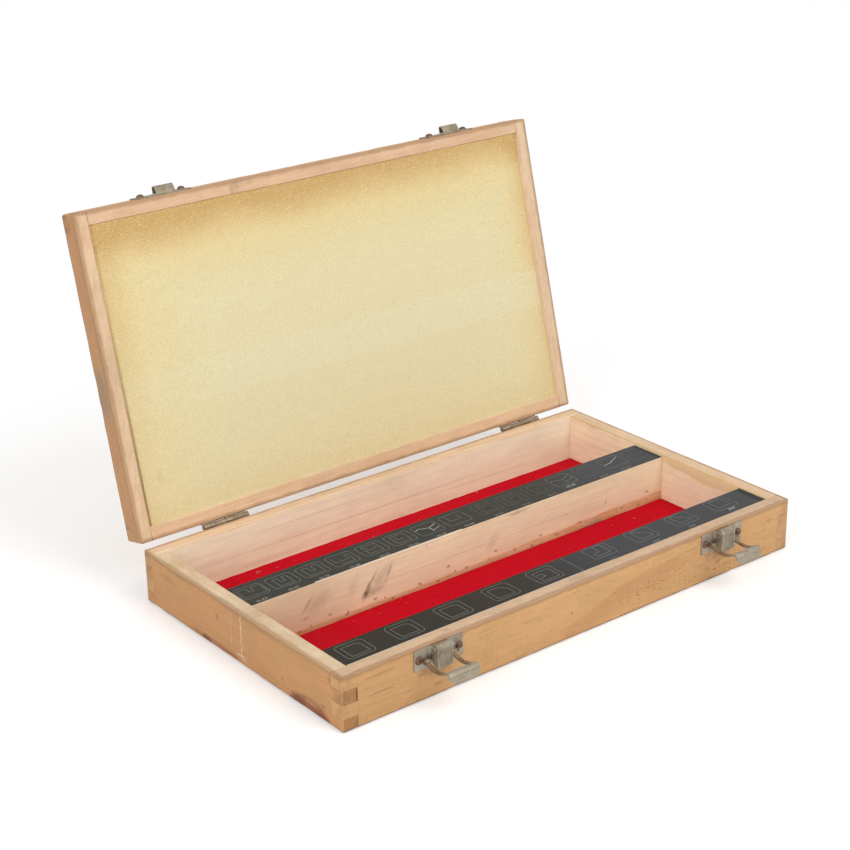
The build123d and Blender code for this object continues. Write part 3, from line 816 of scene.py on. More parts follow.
def front_wall_marks(t, place, colour, grain):
    """A darker sweep of grain, resin dashes, pin holes and dirt round the latches and on the rim."""
    for spot in FRONT_RIM_SPOTS:
        colour = rim_stain(t, place, colour, spot, RIM_DIRT, ragged=0.6, seed=spot[0] * MM * 17)
    x, y, z = t.parts(place)
    outer = t.ramp(y, -HALF_D + 0.003, -HALF_D + 0.001)
    rise = t.noise(t.join(x, 0.0, 0.0), 45.0) * 0.004 + (t.ramp(x, -0.028, 0.062, 0.0105, 0.0300) - 0.002)
    below = rise - z
    sweep = t.ramp(below, 0.0, 0.0016) * t.ramp(below, 0.024, 0.006)
    sweep *= t.ramp(x, -0.032, -0.010) * t.ramp(x, 0.135, 0.075)
    colour = t.mix(sweep * outer * 0.50, colour, (0.52, 0.255, 0.105))
    lower = t.ramp(x, 0.015, 0.05) * t.ramp(z, 0.030, 0.012)
    colour = t.mix(grain["Flecks"] * outer * (lower * 0.85 + 0.20), colour, (0.27, 0.11, 0.04))
    colour = stains(t, place, colour, (0.12, 0.06, 0.03), PIN_HOLES, -HALF_D, "y")
    colour = t.mix(t.ramp(x, -0.10, -0.20) * outer * 0.16, colour, (0.36, 0.19, 0.08))
    colour = stains(t, place, colour, (0.27, 0.125, 0.05), FRONT_STREAKS, -HALF_D, "y")
    dashes = [(along, up, 2.2, 0.5, 0.60) for along, up in RESIN_DASHES]
    colour = stains(t, place, colour, (0.20, 0.085, 0.03), dashes, -HALF_D, "y")
    for plate in LATCH_PLATES:
        centre = middle(plate)
        colour = stain(t, place, colour, (centre.x, -HALF_D, centre.z - 9 * MM), (20 * MM, SKIN, 12 * MM), 0.40,
                       (0.31, 0.19, 0.10), ragged=0.6, seed=centre.x)
    return colour


def right_wall_marks(t, place, colour, grain):
    """Old glue under the rim beside both bays."""
    x, y, z = t.parts(place)
    low = t.noise(place, 55.0, 3.0) * 0.009 + (RIM - 0.0055) - t.ramp(y, 0.045, -0.045, 0.0016, 0.0105)
    glue = on_face(t, x, INNER_X) * t.ramp(z - low, 0.0, 0.0028)
    return t.mix(glue * 0.50, colour, (0.70, 0.50, 0.20))


def rear_wall_marks(t, place, colour, grain):
    """Slanting saw marks across the inner face, and darker growth lines along it."""
    x, y, z = t.parts(place)
    wave = t.math("SINE", (z * 0.75 + x) * (2 * math.pi / SAW_PITCH))
    line = t.ramp(wave, -0.6, 0.9) * t.ramp(z, 0.008, 0.028, 0.45, 1.0)
    line *= on_face(t, y, INNER_Y) * t.ramp(t.noise(place, 22.0), 0.30, 0.6)
    colour = t.mix(line * 0.34, colour, (0.97, 0.88, 0.72))
    return stains(t, place, colour, (0.60, 0.38, 0.27),
                  ((-20, 17.5, 190, 1.2, .45, .3, .9), (-60, 31, 120, 1, .34, .3, .9),
                   (100, 12, 90, .8, .35, .3, .9), (-110, 6.5, 50, 3.5, .3, .5, .9)), INNER_Y, "y")


def divider_marks(t, place, colour, grain):
    """Pencil-grey smudges, rust round the nails, a darker brown band along the foot and a bruise."""
    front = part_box("divider_block")[0].y
    x, y, z = t.parts(place)
    near = on_face(t, y, front)
    hatch = t.ramp(t.noise(t.stretch(place, (420.0, 420.0, 150.0)), 1.0, 3.0), 0.28, 0.66, 0.60, 1.0)
    for along, up, wide, tall, lean, strength in DIVIDER_SMUDGES:
        from_x, from_y, from_z = t.parts(t.from_point(place, (along * MM, front, up * MM)))
        leant = t.join(from_z * -lean + from_x, from_y, from_z)
        smudge = blob(t, leant, (0, 0, 0), (wide * MM, SKIN, tall * MM), 0.45, along * MM * 31, 0.95)
        colour = t.mix(smudge * hatch * (1.35 * strength), colour, (0.155, 0.11, 0.08))
    colour = t.mix(near * t.ramp(x, -0.090, -0.150) * 0.40, colour, (0.50, 0.29, 0.175))
    # a darker brown band along the foot, with a wavering top
    edge = t.noise(t.stretch(place, (1, 0, 0)), 26.0, 3.0) * 0.0030 + t.ramp(x, -0.05, 0.20, 0.0046, 0.0085)
    darker = t.ramp(t.noise(t.stretch(place, (34.0, 1.0, 300.0)), 1.0, 3.0), 0.35, 0.7, 0.45, 0.80)
    colour = t.mix(near * t.ramp(z - edge, 0.0006, -0.0008) * darker, colour, (0.62, 0.29, 0.08))
    rust = [(along, up, 2.3, 1.5, 0.62) for along, up in NAIL_RUST]
    rust += [(136.5, 17.8, 0.7, 3.0, 0.45), (94.5, 19.5, 2.2, 0.9, 0.30)]
    for tint, spots in (
            ((0.66, 0.36, 0.22), ((0, 20, 195, .8, .4, .3, .9), (-20, 37.5, 170, 1, .4, .3, .9))),
            ((0.30, 0.12, 0.05), rust), ((0.45, 0.33, 0.27), ((125.5, 5.2, 9.5, 3.2, .55),))):
        colour = stains(t, place, colour, tint, spots, front, "y")
    return colour


def lid_rail_marks(t, place, colour, grain):
    """A brown knot across the free rail of the lid, with grey dirt beside it."""
    for spot, tint in (((-75.5, -117.5, 7, 11, .34), (0.38, 0.25, 0.15)),
                       ((-79, -113.5, 2.2, 5, .42), (0.34, 0.22, 0.13)),
                       ((-62, -118.5, 3.5, 4, .26), (0.36, 0.25, 0.17))):
        colour = rim_stain(t, place, colour, spot, tint, ragged=0.5)
    return colour


def lid_stile_marks(t, place, colour, grain):
    """Brown and grey dirt on the left stile's outer face, corner and rim."""
    patches = t.ramp(t.noise(place, 42.0, 4.0, 0.6), 0.42, 0.66)
    outer = t.ramp(abs(t.parts(place)[0] + HALF_L), 0.002, 0.0008)
    colour = t.mix(patches * outer * 0.42, colour, (0.50, 0.30, 0.12))
    colour = stains(t, place, colour, (0.22, 0.135, 0.08), LID_STILE_DIRT, -HALF_L, "x")
    colour = stains(t, place, colour, (0.30, 0.235, 0.185), ((10, 50.5, 23, 9.5, .4),), -HALF_L, "x")
    return rim_stain(t, place, colour, (-206, -105, 5, 16, .34), (0.55, 0.30, 0.14), ragged=0.5)


MARKS = {
    "base_left_wall": left_wall_marks, "base_front_wall": front_wall_marks,
    "base_right_wall": right_wall_marks, "base_rear_wall": rear_wall_marks,
    "divider_block": divider_marks, "lid_front_rail": lid_rail_marks, "lid_left_stile": lid_stile_marks,
}


# ---- finishes ----

def tinted(colour, tint):
    return tuple(a * b for a, b in zip(colour, tint))


def joint_sizes(lid):
    """Sizes of the finger joints of the base or the lid."""
    front, end = ("lid_front_rail", "lid_left_stile") if lid else ("base_front_wall", "base_left_wall")
    low, high = shut_box(front, SHUT if lid else STAY)
    end_low, end_high = shut_box(end, SHUT if lid else STAY)
    return {"End_Thickness": end_high.x - end_low.x, "Front_Thickness": high.y - low.y, "Low": low.z,
            "Finger": (high.z - low.z) / (2 if lid else 4)}


def outer_wear(t, place, colour, lid, where, rubbed, upright):
    """Dirt at the case's corners and rim edge, a dark line along its back edge that is dirt and painted contact
    shadow, and the lines of its joints.
    """
    colour = t.mix(where["Corner"] * where["Outside"] * rubbed * 0.62, colour, (0.27, 0.155, 0.075))
    colour = t.mix(where["Brow"] * 0.60, colour, (0.33, 0.17, 0.075))
    # dark line along the back edge: dirt and painted contact shadow
    colour = t.mix(where["Foot"] * 0.90, colour, (0.15, 0.085, 0.05))
    lines = t.group("joints", Position=place, **joint_sizes(lid))
    line = lines["Line"] * upright * (0.30 if lid else 0.22)
    butt = lines["Butt"] * ((0.80 if lid else 0.08) - upright)
    return t.mix(t.most(line, butt, 0.0), colour, (0.12, 0.065, 0.035))


def pine(context, node, board):
    """Pine for one board: lacquered outside, handled rim, raw inside, end grain on the fingers."""
    c = context.scene.case_colours
    material, t, place, normal = new_material("Pine " + node.replace("_", " "), board.lid)
    nx, ny, nz = t.parts(normal)
    grain_place, along = place, nx
    if board.along_y:
        x, y, z = t.parts(place)
        grain_place, along = t.join(y, x, z), ny
    grain = t.group("grain", Position=grain_place, Pith=board.pith, Ring_Pitch=0.0052, Bend=0.030,
                    Slope=board.slope)
    where = t.group("places", Position=place, Back_Height=LID_TOP if board.lid else 0.0)
    grime = t.group("grime", Position=place)
    upright = t.ramp(abs(nz), 0.75, 0.45)
    outside, fibres, flecks = where["Outside"], grain["Fibres"], grain["Flecks"]
    rings = grain["Rings"] * (outside * (board.contrast - 0.70) + 0.70)
    raw = t.mix(rings, tinted(c.raw, board.inside), tinted(c.raw_dark, board.inside))
    lacquer = t.mix(rings, tinted(c.lacquer, board.outside), tinted(c.lacquer_dark, board.outside))
    handled, streaked, rubbed = (tinted(c.rim, tinted(board.rim, tint)) for tint in (
        (1.05, 1.05, 1.05), (0.88, 0.74, 0.60), (0.70, 0.68, 0.66)))
    rim = t.mix(grime["Rubbed"] * 0.22, t.mix(grain["Streaks"] * 0.42, handled, streaked), rubbed)
    colour = t.mix(outside, raw, lacquer)
    colour = t.mix(grain["Streaks"] * 0.20, colour, t.mix(1.0, colour, (0.80, 0.66, 0.52), "MULTIPLY"))
    colour = t.mix(where["Rim"], colour, rim)
    colour = t.shade(colour, (fibres * 0.26 + 0.87) * (grain["Clouds"] * 0.30 + 0.87))
    colour = t.mix(flecks * (outside * 0.18 + 0.08), colour, (0.22, 0.09, 0.035))
    end = t.ramp(abs(along), 0.72, 0.9) * upright * outside
    speckle = fibres * -0.6 + (grime["Rubbed"] * 0.45 + 1.02)
    colour = t.mix(end * (speckle * board.ends), colour, c.end_grain)
    colour = t.mix(grime["Patches"] * 0.26, colour, (0.36, 0.24, 0.14))
    colour = t.mix(grime["Spots"] * 0.40, colour, (0.20, 0.11, 0.06))
    if node in BOARDS:
        colour = outer_wear(t, place, colour, board.lid, where, grime["Rubbed"], upright)
    if node in MARKS:
        colour = MARKS[node](t, place, colour, grain)
    height = flecks * -0.8 + (fibres * 0.5 + rings * 0.6)
    feed(t, Base_Color=colour, Roughness=fibres * 0.12 + (outside * -0.14 + 0.68),
         Normal=t.bump(height, 0.00014, 0.7), Specular_IOR_Level=0.30)
    return material


def plywood(context, node, lid):
    """Thin rotary-cut veneer with wide, wavy figure."""
    c = context.scene.case_colours
    material, t, place, _ = new_material("Plywood " + node.replace("_", " "), lid)
    grain = t.group("grain", Position=t.stretch(place, (1, 0.22, 1)), Pith=(0, -0.02, 0.31), Ring_Pitch=0.0042,
                    Bend=0.05)
    grime = t.group("grime", Position=place)
    fibres = grain["Fibres"]
    colour = t.shade(t.mix(grain["Rings"] * 0.7, c.ply, c.lacquer_dark), fibres * 0.34 + 0.83)
    colour = t.mix(grime["Patches"] * 0.45, colour, (0.36, 0.23, 0.13))
    colour = t.mix(grime["Spots"] * 0.7, colour, (0.17, 0.10, 0.06))
    feed(t, Base_Color=colour, Roughness=fibres * 0.18 + 0.46,
         Normal=t.bump(fibres + grain["Rings"] * 0.5, 0.00012, 0.6))
    return material


def felt_finish(context, name):
    """Red felt with lint and a worn pile."""
    c = context.scene.case_colours
    material, t, place, _ = new_material("Felt " + name)
    nap = t.group("nap", Position=place)
    grime = t.group("grime", Position=t.stretch(place, shift=(0.7, 0.2, 0.0)))
    colour = t.shade(c.felt, nap["Tone"] * 0.95 + 0.52)
    colour = t.mix(grime["Patches"] * 0.07, colour, (0.40, 0.13, 0.11))
    colour = t.mix(nap["Lint"] * 0.28, colour, (0.72, 0.45, 0.42))
    feed(t, Base_Color=colour, Roughness=nap["Tone"] * 0.1 + 0.86, Normal=t.bump(nap["Height"], 0.00050, 0.8),
         Specular_IOR_Level=0.05, Sheen_Weight=0.10, Sheen_Roughness=0.5, Sheen_Tint=(0.9, 0.12, 0.14))
    return material


def foam_finish(context):
    """Open-cell foam, yellowed toward the edges and browner along the free edge and the left, with painted shade in
    its cell pits and in the gap along the left stile.
    """
    c = context.scene.case_colours
    material, t, place, _ = new_material("Foam", True)
    x, y, _ = t.parts(place)
    cells = t.group("cells", Position=place, Cell_Scale=620.0)
    slow = t.noise(place, 9.0, 3.0, 0.55)
    swing = slow * 0.030 - 0.027
    low, high = shut_box("lid_foam", SHUT)
    left = x - low.x
    fade = t.ramp(y, -0.10, 0.08, 1.0, 0.50)
    yellow, brown = 0.0, 0.0
    for gap, wide, most, narrow, deep, fades in (
            (y - low.y, 0.062, 1.0, 0.024, 1.0, False), (left, 0.075, 0.76, 0.015, 0.45, True),
            (high.x - x, 0.036, 0.76, 0.014, 0.45, True), (high.y - y, 0.034, 0.15, 0.018, 0.12, False)):
        more = t.ramp(gap + swing, wide, -0.004, 0.0, most)
        darker = t.ramp(gap + swing, narrow, -0.012, 0.0, deep)
        if fades:
            more, darker = more * fade, darker * fade
        yellow = t.most(more, yellow)
        brown = darker + brown
    yellow = t.clamp(yellow + (slow * 0.30 - 0.08))
    brown = t.clamp(brown + (slow * 0.06 - 0.03))
    colour = t.mix(yellow, c.foam, tinted(c.foam, (1.0, 0.89, 0.73)))
    colour = t.mix(brown, colour, c.foam_aged)
    band = t.ramp(abs(y - 0.017), 0.017, 0.013) * t.ramp(x, -0.19, -0.05, 0.35, 1.0)
    colour = t.mix(band * 0.36, colour, (0.93, 0.88, 0.60))
    colour = stain(t, place, colour, (-0.182, 0.078, RIM + 0.004), (0.004, 0.010, 0.01), 0.26, (0.60, 0.40, 0.19),
                   ragged=0.5, soft=0.95)
    # painted shade in the gap between the foam and the left stile, stronger toward the rear
    gap_shadow = t.ramp(left, 0.0033, 0.0021) * t.ramp(y, -0.08, 0.11, 0.10, 0.70)
    colour = t.mix(gap_shadow, colour, (0.30, 0.19, 0.065))
    # painted shade in the cell pits, times a slow mottling of tone
    colour = t.shade(colour, (cells["Pits"] * -0.15 + 1.075) * (cells["Mottle"] * 0.24 + 0.88))
    glint = t.clamp(yellow * 0.34 + (brown * 0.26 - 0.03))
    colour = t.mix(cells["Sparks"] * glint, colour, (0.98, 0.84, 0.50))
    feed(t, Base_Color=colour, Roughness=cells["Sparks"] * -0.25 + 0.85,
         Normal=t.bump(cells["Height"], 0.0006, 0.7), Specular_IOR_Level=0.2)
    return material


def strip_finish(context):
    """Satin black print, a little brown at the left, scuffed and dusty, lightened toward the right by a painted
    sheen, and darkened at the right ends by a painted shadow of the right wall.
    """
    _, t, place, _ = new_material("Printed strip")
    x, y, _ = t.parts(place)
    grime = t.group("grime", Position=t.stretch(place, (1.4, 1.4, 1.4), (0.3, 0.9, 0.1)))
    brown = t.ramp(x, 0.07, -0.05) * t.ramp(y, 0.0, -0.02)
    dust = t.ramp(t.noise(place, 420.0, 3.0, 0.7), 0.58, 0.80)
    # end marks a painted shadow of the right wall over the right ends of both strips
    end = t.most(t.ramp(x, 0.1905, 0.1915) * t.ramp(y, 0.0, -0.001), t.ramp(x, 0.1945, 0.1953))
    colour = context.scene.case_colours.strip
    # tints in turn: brown at the left, a painted sheen lightening the right, dust, grime, and the painted wall
    # shadow at the right ends
    for factor, tint in ((brown, (0.0215, 0.020, 0.018)), (t.ramp(x, 0.0, 0.15), (0.037, 0.038, 0.041)),
                         (dust * 0.05, (0.30, 0.28, 0.25)), (grime["Patches"] * 0.05, (0.24, 0.21, 0.16)),
                         (end * 0.85, (0.006, 0.005, 0.005))):
        colour = t.mix(factor, colour, tint)
    rub = t.drawn(place, 30.0, 700.0, 3.0, 0.6)
    feed(t, Base_Color=colour, Roughness=rub * 0.20 + 0.28, Normal=t.bump(rub, 0.00003, 0.5),
         Specular_IOR_Level=0.13)


def plain_finish(name, colour, roughness, variation=0.2, grain=300.0):
    """A dull finish that varies a little over the surface."""
    material, t, place, _ = new_material(name)
    fleck = t.noise(place, grain, 3.0, 0.6)
    feed(t, Base_Color=t.shade(colour, fleck * (2 * variation) + (1 - variation)),
         Roughness=fleck * 0.15 + (roughness - 0.07), Normal=t.bump(fleck, 0.00003, 0.5))
    return material


def plate_shadows(t, place, colour):
    """Painted shadow on the latch plates in the dark cavity beside their levers."""
    for plate in LATCH_PLATES:
        centre = middle(plate)
        # painted shadow of the dark cavity beside each lever
        colour = stain(t, place, colour, (centre.x - 9.5 * MM, -HALF_D - 3 * MM, centre.z - 1 * MM),
                       (4.8 * MM, 6 * MM, 6 * MM), 0.60, (0.13, 0.10, 0.07), ragged=0.3)
    return colour


def lever_faces(t, place, colour):
    """A darker patch on the face of each lever, and paler edges beside it."""
    x, _, z = t.parts(place)
    for lever in ("left_latch_lever", "right_latch_lever"):
        aside = abs(x - middle(lever).x)
        patch = t.ramp(aside, 0.0050, 0.0043) * t.ramp(abs(z - LEVER_FACE_Z), 0.0054, 0.0046)
        colour = t.mix(patch * 0.36, colour, (0.24, 0.225, 0.17))
        edges = t.ramp(aside, 0.0055, 0.0062) * t.ramp(aside, 0.0100, 0.0090) * t.ramp(z, 0.041, 0.040)
        colour = t.mix(edges * 0.35, colour, (0.47, 0.45, 0.37))
    return colour


def metal_finish(context, name, base, rust_from, shine, stained=0.3, pale_from=None, marks=None):
    """Dulled plate with brown stains, pale bloom, rust in the low spots and fine scratches.

    Further than pale_from in front of the case the metal turns pale and grey. marks adds what one kind of
    piece carries, or on the latch plates a painted shadow beside the levers."""
    material, t, place, _ = new_material(name)
    tarnish = t.group("tarnish", Position=place, Rust_From=rust_from)
    cloud, rust, scratches = tarnish["Cloud"], tarnish["Rust"], tarnish["Scratches"]
    colour = t.mix(cloud * (stained + 0.25), base, tinted(base, (0.62, 0.45, 0.32)))
    bloom = t.ramp(t.noise(place, 260.0, 3.0, 0.6), 0.50, 0.66)
    colour = t.mix(bloom * 0.30, colour, (0.42, 0.41, 0.35))
    if pale_from:
        out = -HALF_D - t.parts(place)[1]
        colour = t.mix(t.ramp(out, pale_from, pale_from + 0.004, 0.0, 0.8), colour, (0.385, 0.345, 0.265))
    colour = t.mix(t.ramp(scratches, 0.58, 0.75) * 0.30, colour, [min(1.0, 1.6 * v) for v in base])
    colour = t.mix(rust * 0.85, colour, context.scene.case_colours.rust)
    if marks:
        colour = marks(t, place, colour)
    feed(t, Base_Color=colour, Metallic=rust * -0.75 + 0.75,
         Roughness=t.clamp(rust * 0.3 + (cloud * 0.25 + shine)),
         Normal=t.bump(tarnish["Speckle"] * 0.6 + scratches * 0.3, 0.00012, 0.7))
    return material


def rusty_finish(context):
    """Rusted steel of the screws."""
    material, t, place, _ = new_material("Rusty steel")
    tarnish = t.group("tarnish", Position=place, Rust_From=0.35)
    cloud, speckle = tarnish["Cloud"], tarnish["Speckle"]
    colour = t.mix(cloud, (0.19, 0.10, 0.068), context.scene.case_colours.rust)
    colour = t.mix(t.ramp(speckle, 0.56, 0.7) * 0.4, colour, (0.27, 0.18, 0.14))
    feed(t, Base_Color=colour, Metallic=cloud * -0.3 + 0.45, Roughness=cloud * 0.25 + 0.38,
         Normal=t.bump(speckle, 0.0001, 0.7))
    return material


# ---- boards ----

Board = collections.namedtuple("Board", (
    "lid",        # whether it is a board of the lid
    "along_y",    # whether its grain runs along Y
    "pith",       # centre of its growth rings, in its own grain's frame
    "contrast",   # of the rings under the lacquer
    "outside", "inside", "rim",     # tints of its outside, inside and rim
    "ends",       # strength of the end grain on its fingers
    "slope"))     # of its streaks
PLAIN = (1.0, 1.0, 1.0)
BOARDS = {
    "base_front_wall": Board(False, False, (0.0, -0.165, -0.030), 0.26, (1.0, 1.0, 0.97), (0.92, 0.95, 0.90),
                             (0.78, 0.755, 0.755), 0.10, 0.09),
    "base_rear_wall": Board(False, False, (0.0, 0.205, -0.075), 0.30, PLAIN, (0.98, 1.11, 1.09),
                            (0.96, 0.96, 0.95), 0.20, 0.02),
    "base_left_wall": Board(False, True, (0.0, -0.262, 0.060), 0.10, (0.92, 0.81, 0.76), (0.94, 0.96, 0.92),
                            (0.92, 1.00, 1.05), 0.95, 0.03),
    "base_right_wall": Board(False, True, (0.0, 0.135, 0.085), 0.26, PLAIN, (1.08, 1.185, 1.175),
                             (0.90, 0.90, 0.90), 0.20, 0.04),
    "lid_front_rail": Board(True, False, (0.0, -0.070, 0.110), 0.30, (0.98, 0.95, 0.98), PLAIN,
                            (0.875, 0.815, 0.77), 0.75, 0.06),
    "lid_rear_rail": Board(True, False, (0.0, 0.060, 0.100), 0.30, PLAIN, PLAIN, (0.90, 0.85, 0.80), 0.60, 0.05),
    "lid_left_stile": Board(True, True, (0.0, -0.170, 0.115), 0.20, (0.82, 0.74, 0.78), PLAIN,
                            (0.90, 0.885, 0.855), 0.30, 0.22),
    "lid_right_stile": Board(True, True, (0.0, 0.170, 0.005), 0.30, PLAIN, PLAIN, (0.90, 0.915, 0.905), 0.30,
                             0.10),
}
BLOCKS = {
    node: Board(False, False, pith, 0.3, PLAIN, (0.96, 1.02, 0.94), (0.9, 0.9, 0.9), 0.3, 0.03)
    for node, pith in (("divider_block", (0.0, -0.075, 0.020)), ("front_ledge", (0.0, -0.10, -0.12)))
}


def near_outer_arris(point, low_z, high_z, reach):
    """Whether a point lies within reach of two outer faces at once."""
    gaps = sorted((HALF_L - abs(point.x), HALF_D - abs(point.y), point.z - low_z, high_z - point.z))
    return gaps[1] < reach


def sharp(edge, degrees):
    return len(edge.link_faces) == 2 and edge.calc_face_angle(0.0) > math.radians(degrees)


def soften(obj, width, segments, test):
    """In edit mode, rounds the sharp edges that pass a test."""
    choose(obj, "EDGE", lambda e: sharp(e, 25) and test(e))
    bpy.ops.mesh.bevel(offset=width, offset_type="OFFSET", segments=segments, profile=0.5, affect="EDGES",
                       clamp_overlap=True)


def wear_arrises(obj, low_z, high_z, depth):
    """Lets the outer arrises wander and takes small nicks out of them."""
    middle_z = (low_z + high_z) / 2
    for vert in obj.data.vertices:
        point = vert.co
        if not near_outer_arris(point, low_z, high_z, ARRIS_REACH):
            continue
        slow = noise.noise(point * 55.0)
        quick = noise.noise(point * 190.0 + Vector((3.1, 0.7, 5.3)))
        bite = max(0.0, quick - 0.30) * 2.6 + max(0.0, slow) * 0.8
        inward = Vector([math.copysign(float(gap < ARRIS_REACH), toward) for gap, toward in (
            (HALF_L - abs(point.x), -point.x), (HALF_D - abs(point.y), -point.y),
            (min(point.z - low_z, high_z - point.z), middle_z - point.z))])
        if inward.length:
            vert.co = point + inward.normalized() * depth * bite


def make_board(context, node):
    """One board of the carcass with softened, worn edges."""
    sizes = context.scene.case_sizes
    board = BOARDS[node]
    matrix = SHUT if board.lid else STAY
    low_z, high_z = (RIM, LID_TOP) if board.lid else (0.0, RIM)
    obj = welded_copy(node, node.replace("_", "-"), matrix)
    axis = int(board.along_y)
    low, high = shut_box(node, matrix)
    edit(obj)
    cut_across(axis, low[axis], high[axis], int((high[axis] - low[axis]) / sizes.board_step))

    def outer(edge):
        return all(near_outer_arris(v.co, low_z, high_z, ARRIS_REACH + 0.1 * MM) for v in edge.verts)

    def rim(edge):
        return all(abs(v.co.z - RIM) < 0.05 * MM for v in edge.verts) and not outer(edge)

    soften(obj, sizes.corner_softness, 2, outer)
    soften(obj, sizes.rim_softness, 3, rim)
    weld(0.004 * MM)
    wear_arrises(obj, low_z, high_z, sizes.wear_depth)
    if board.lid:
        for vert in obj.data.vertices:
            vert.co.z = max(vert.co.z, RIM + RIM_CLEARANCE)
        obj.data.transform(OPEN)
    smooth(obj, 40)
    paint(obj, pine(context, node, board))
    stand_for(obj, node, body_of_node(node))


class CASE_OT_boards(bpy.types.Operator):
    """Make the eight boards of the base and the lid"""
    bl_idname = "case.boards"
    bl_label = "Boards"

    def execute(self, context):
        for node in BOARDS:
            make_board(context, node)
        return {"FINISHED"}


class CASE_OT_panels(bpy.types.Operator):
    """Finish the plywood bottom and the plywood lid panel"""
    bl_idname = "case.panels"
    bl_label = "Panels"

    def execute(self, context):
        for node, lid in (("base_bottom_panel", False), ("lid_panel", True)):
            paint(frame["nodes"][node], plywood(context, node, lid))
        return {"FINISHED"}


class CASE_OT_blocks(bpy.types.Operator):
    """Make the divider block and the front ledge"""
    bl_idname = "case.blocks"
    bl_label = "Blocks"

    def execute(self, context):
        for node, board in BLOCKS.items():
            obj = welded_copy(node, node.replace("_", "-"))
            edit(obj)
            soften(obj, 0.5 * MM, 2, lambda e: abs((e.verts[0].co - e.verts[1].co).x) > 50 * MM)
            leave_edit()
            smooth(obj, 40)
            paint(obj, pine(context, node, board))
            stand_for(obj, node, "base")
        return {"FINISHED"}


# ---- printed strips ----

RING = [(-6, 6), (6.2, 6), (6.2, -6), (-6, -6)]
CUT = [(-7.4, 6.1), (4.2, 6.1), (6.6, 4.4), (7.2, 2.6), (7.2, -7.2), (-7.4, -7.2)]
REAR_ICONS = (
    # centre (mm), ink (0 worn, 1 pale, 2 bright), then lines about the centre and whether each closes
    (-184.3, 1, ([(-8.7, 5.9), (-1.6, 5.9), (-1.6, .5), (2, .5), (2, 5.9), (9.6, 5.9), (9.6, -5.8),
                  (-8.7, -5.8)], 1)),
    (-158.4, 1, ([(-5.7, 5.4), (-2, 5.4), (-2, -1), (2, -1), (2, 5.4), (6.1, 5.4), (6.1, -6.4), (-5.7, -6.4)], 1)),
    (-132.8, 1, ([(-6.4, 5.3), (-1.7, 5.3), (-1.7, -1.6), (1.9, -1.6), (1.9, 5.3), (6.9, 5.3), (6.9, -6.6),
                  (-6.4, -6.6)], 1)),
    (-106.4, 1, ([(-7.3, 5.3), (-7.3, -2), (4.4, -2), (4.4, 5.3), (7, 5.3), (7, -6.4), (-5, -6.4)], 0)),
    (-79.9, 1, (RING, 1), ([(-3.7, 4), (-3.7, -.4), (3.4, -.4), (3.4, 3.6)], 0)),
    (-54.0, 1, (RING, 1), ([(-2.7, 4.6), (-2.7, -.7), (2.5, -.7)], 0)),
    (-28.6, 2, ([(-10, 1.7), (-6.5, 3.4), (1.9, .3), (9.3, 3.7)], 0), ([(1.9, .3), (1.9, -6)], 0),
     ([(1.9, -4.5), (9.4, -2.3)], 0)),
    (-2.1, 1, ([(-5.1, 5.8), (-5.1, -1.3), (4.9, -1.3), (4.9, 5.8)], 0)),
    (28.4, 0, ([(-1.5, 1.5), (-3.5, 4.5), (-6, 5.5), (-6, -6.3), (6.3, -6.3), (6.3, 5.5), (2.9, 5.5),
                (-1.5, 1.5)], 0)),
    (54.0, 0, (RING, 1), ([(-1.5, -2), (-1.5, 1), (3, 1)], 0)),
    (80.1, 0, (RING, 1), ([(-.6, -4), (-.6, 0), (3, 0)], 0)),
    (105.6, 1, ([(-9, .7), (-9, 2.9), (1, 0), (10.3, 4.3)], 0), ([(1, 0), (1, -5.7)], 0),
     ([(1.7, -5), (10.3, -1.4)], 0)),
    (133.1, 0, (RING, 1), ([(-4, 3), (3.5, -2.5)], 0)),
    (160.0, 2, ([(-9.6, -1.4), (-2.4, -.7), (.4, 1.4), (9, 5)], 0)),
    (183.5, 0),
)
FRONT_ICONS = (
    (-179.4, 1, (CUT, 1)), (-138.4, 1, (CUT, 1)), (-96.6, 1, (CUT, 1)),
    (-54.4, 1, ([(-7.4, 6.1), (1.5, 6.1), (4.6, 4.4), (7.2, .4), (7.2, -7.2), (-7.4, -7.2)], 1)),
    (-14.0, 1, ([(-7, 5.6), (7.7, 5.6), (7.7, -7.3), (-7, -7.3)], 1),
     ([(-6.3, 1.7), (-1.3, 1.7), (-.6, -1.9), (-6.3, -3.3)], 0)),
    (40.4, 1, ([(-.7, 7.7), (-.4, -.1), (-6.4, -1.6), (-6.4, -5.9), (6.7, -5.1), (6.7, 7.7)], 1)),
    (82.4, 1, ([(-5, 7.5), (-5, -5.4), (7.1, -5.4), (7.1, -.4), (0, 3.9), (-1.4, 7.5)], 1)),
    (123.6, 1, ([(-6.1, 7.4), (-6.1, -4.8), (6.7, -4.8), (6.7, -1.9), (-.4, 3.8), (-1.9, 7.4)], 1)),
    (164.6, 1, ([(-5.7, 6.8), (5, 6.8), (7.1, 4.6), (7.1, -4.6), (-5.7, -4.6)], 1)),
)
INKS = {"Worn ink": 0.55, "Pale ink": 1.0, "Bright ink": 2.6, "Number ink": 1.7}
WORN, PALE, BRIGHT, NUMBER = range(len(INKS))


def rounded(width, depth, radius, steps=4):
    """Outline of a rectangle with round corners, about its centre."""
    points = []
    for quarter, (sx, sy) in enumerate(((1, 1), (-1, 1), (-1, -1), (1, -1))):
        for k in range(steps + 1):
            angle = math.pi / 2 * (quarter + k / steps)
            points.append((sx * (width / 2 - radius) + radius * math.cos(angle),
                           sy * (depth / 2 - radius) + radius * math.sin(angle)))
    return points


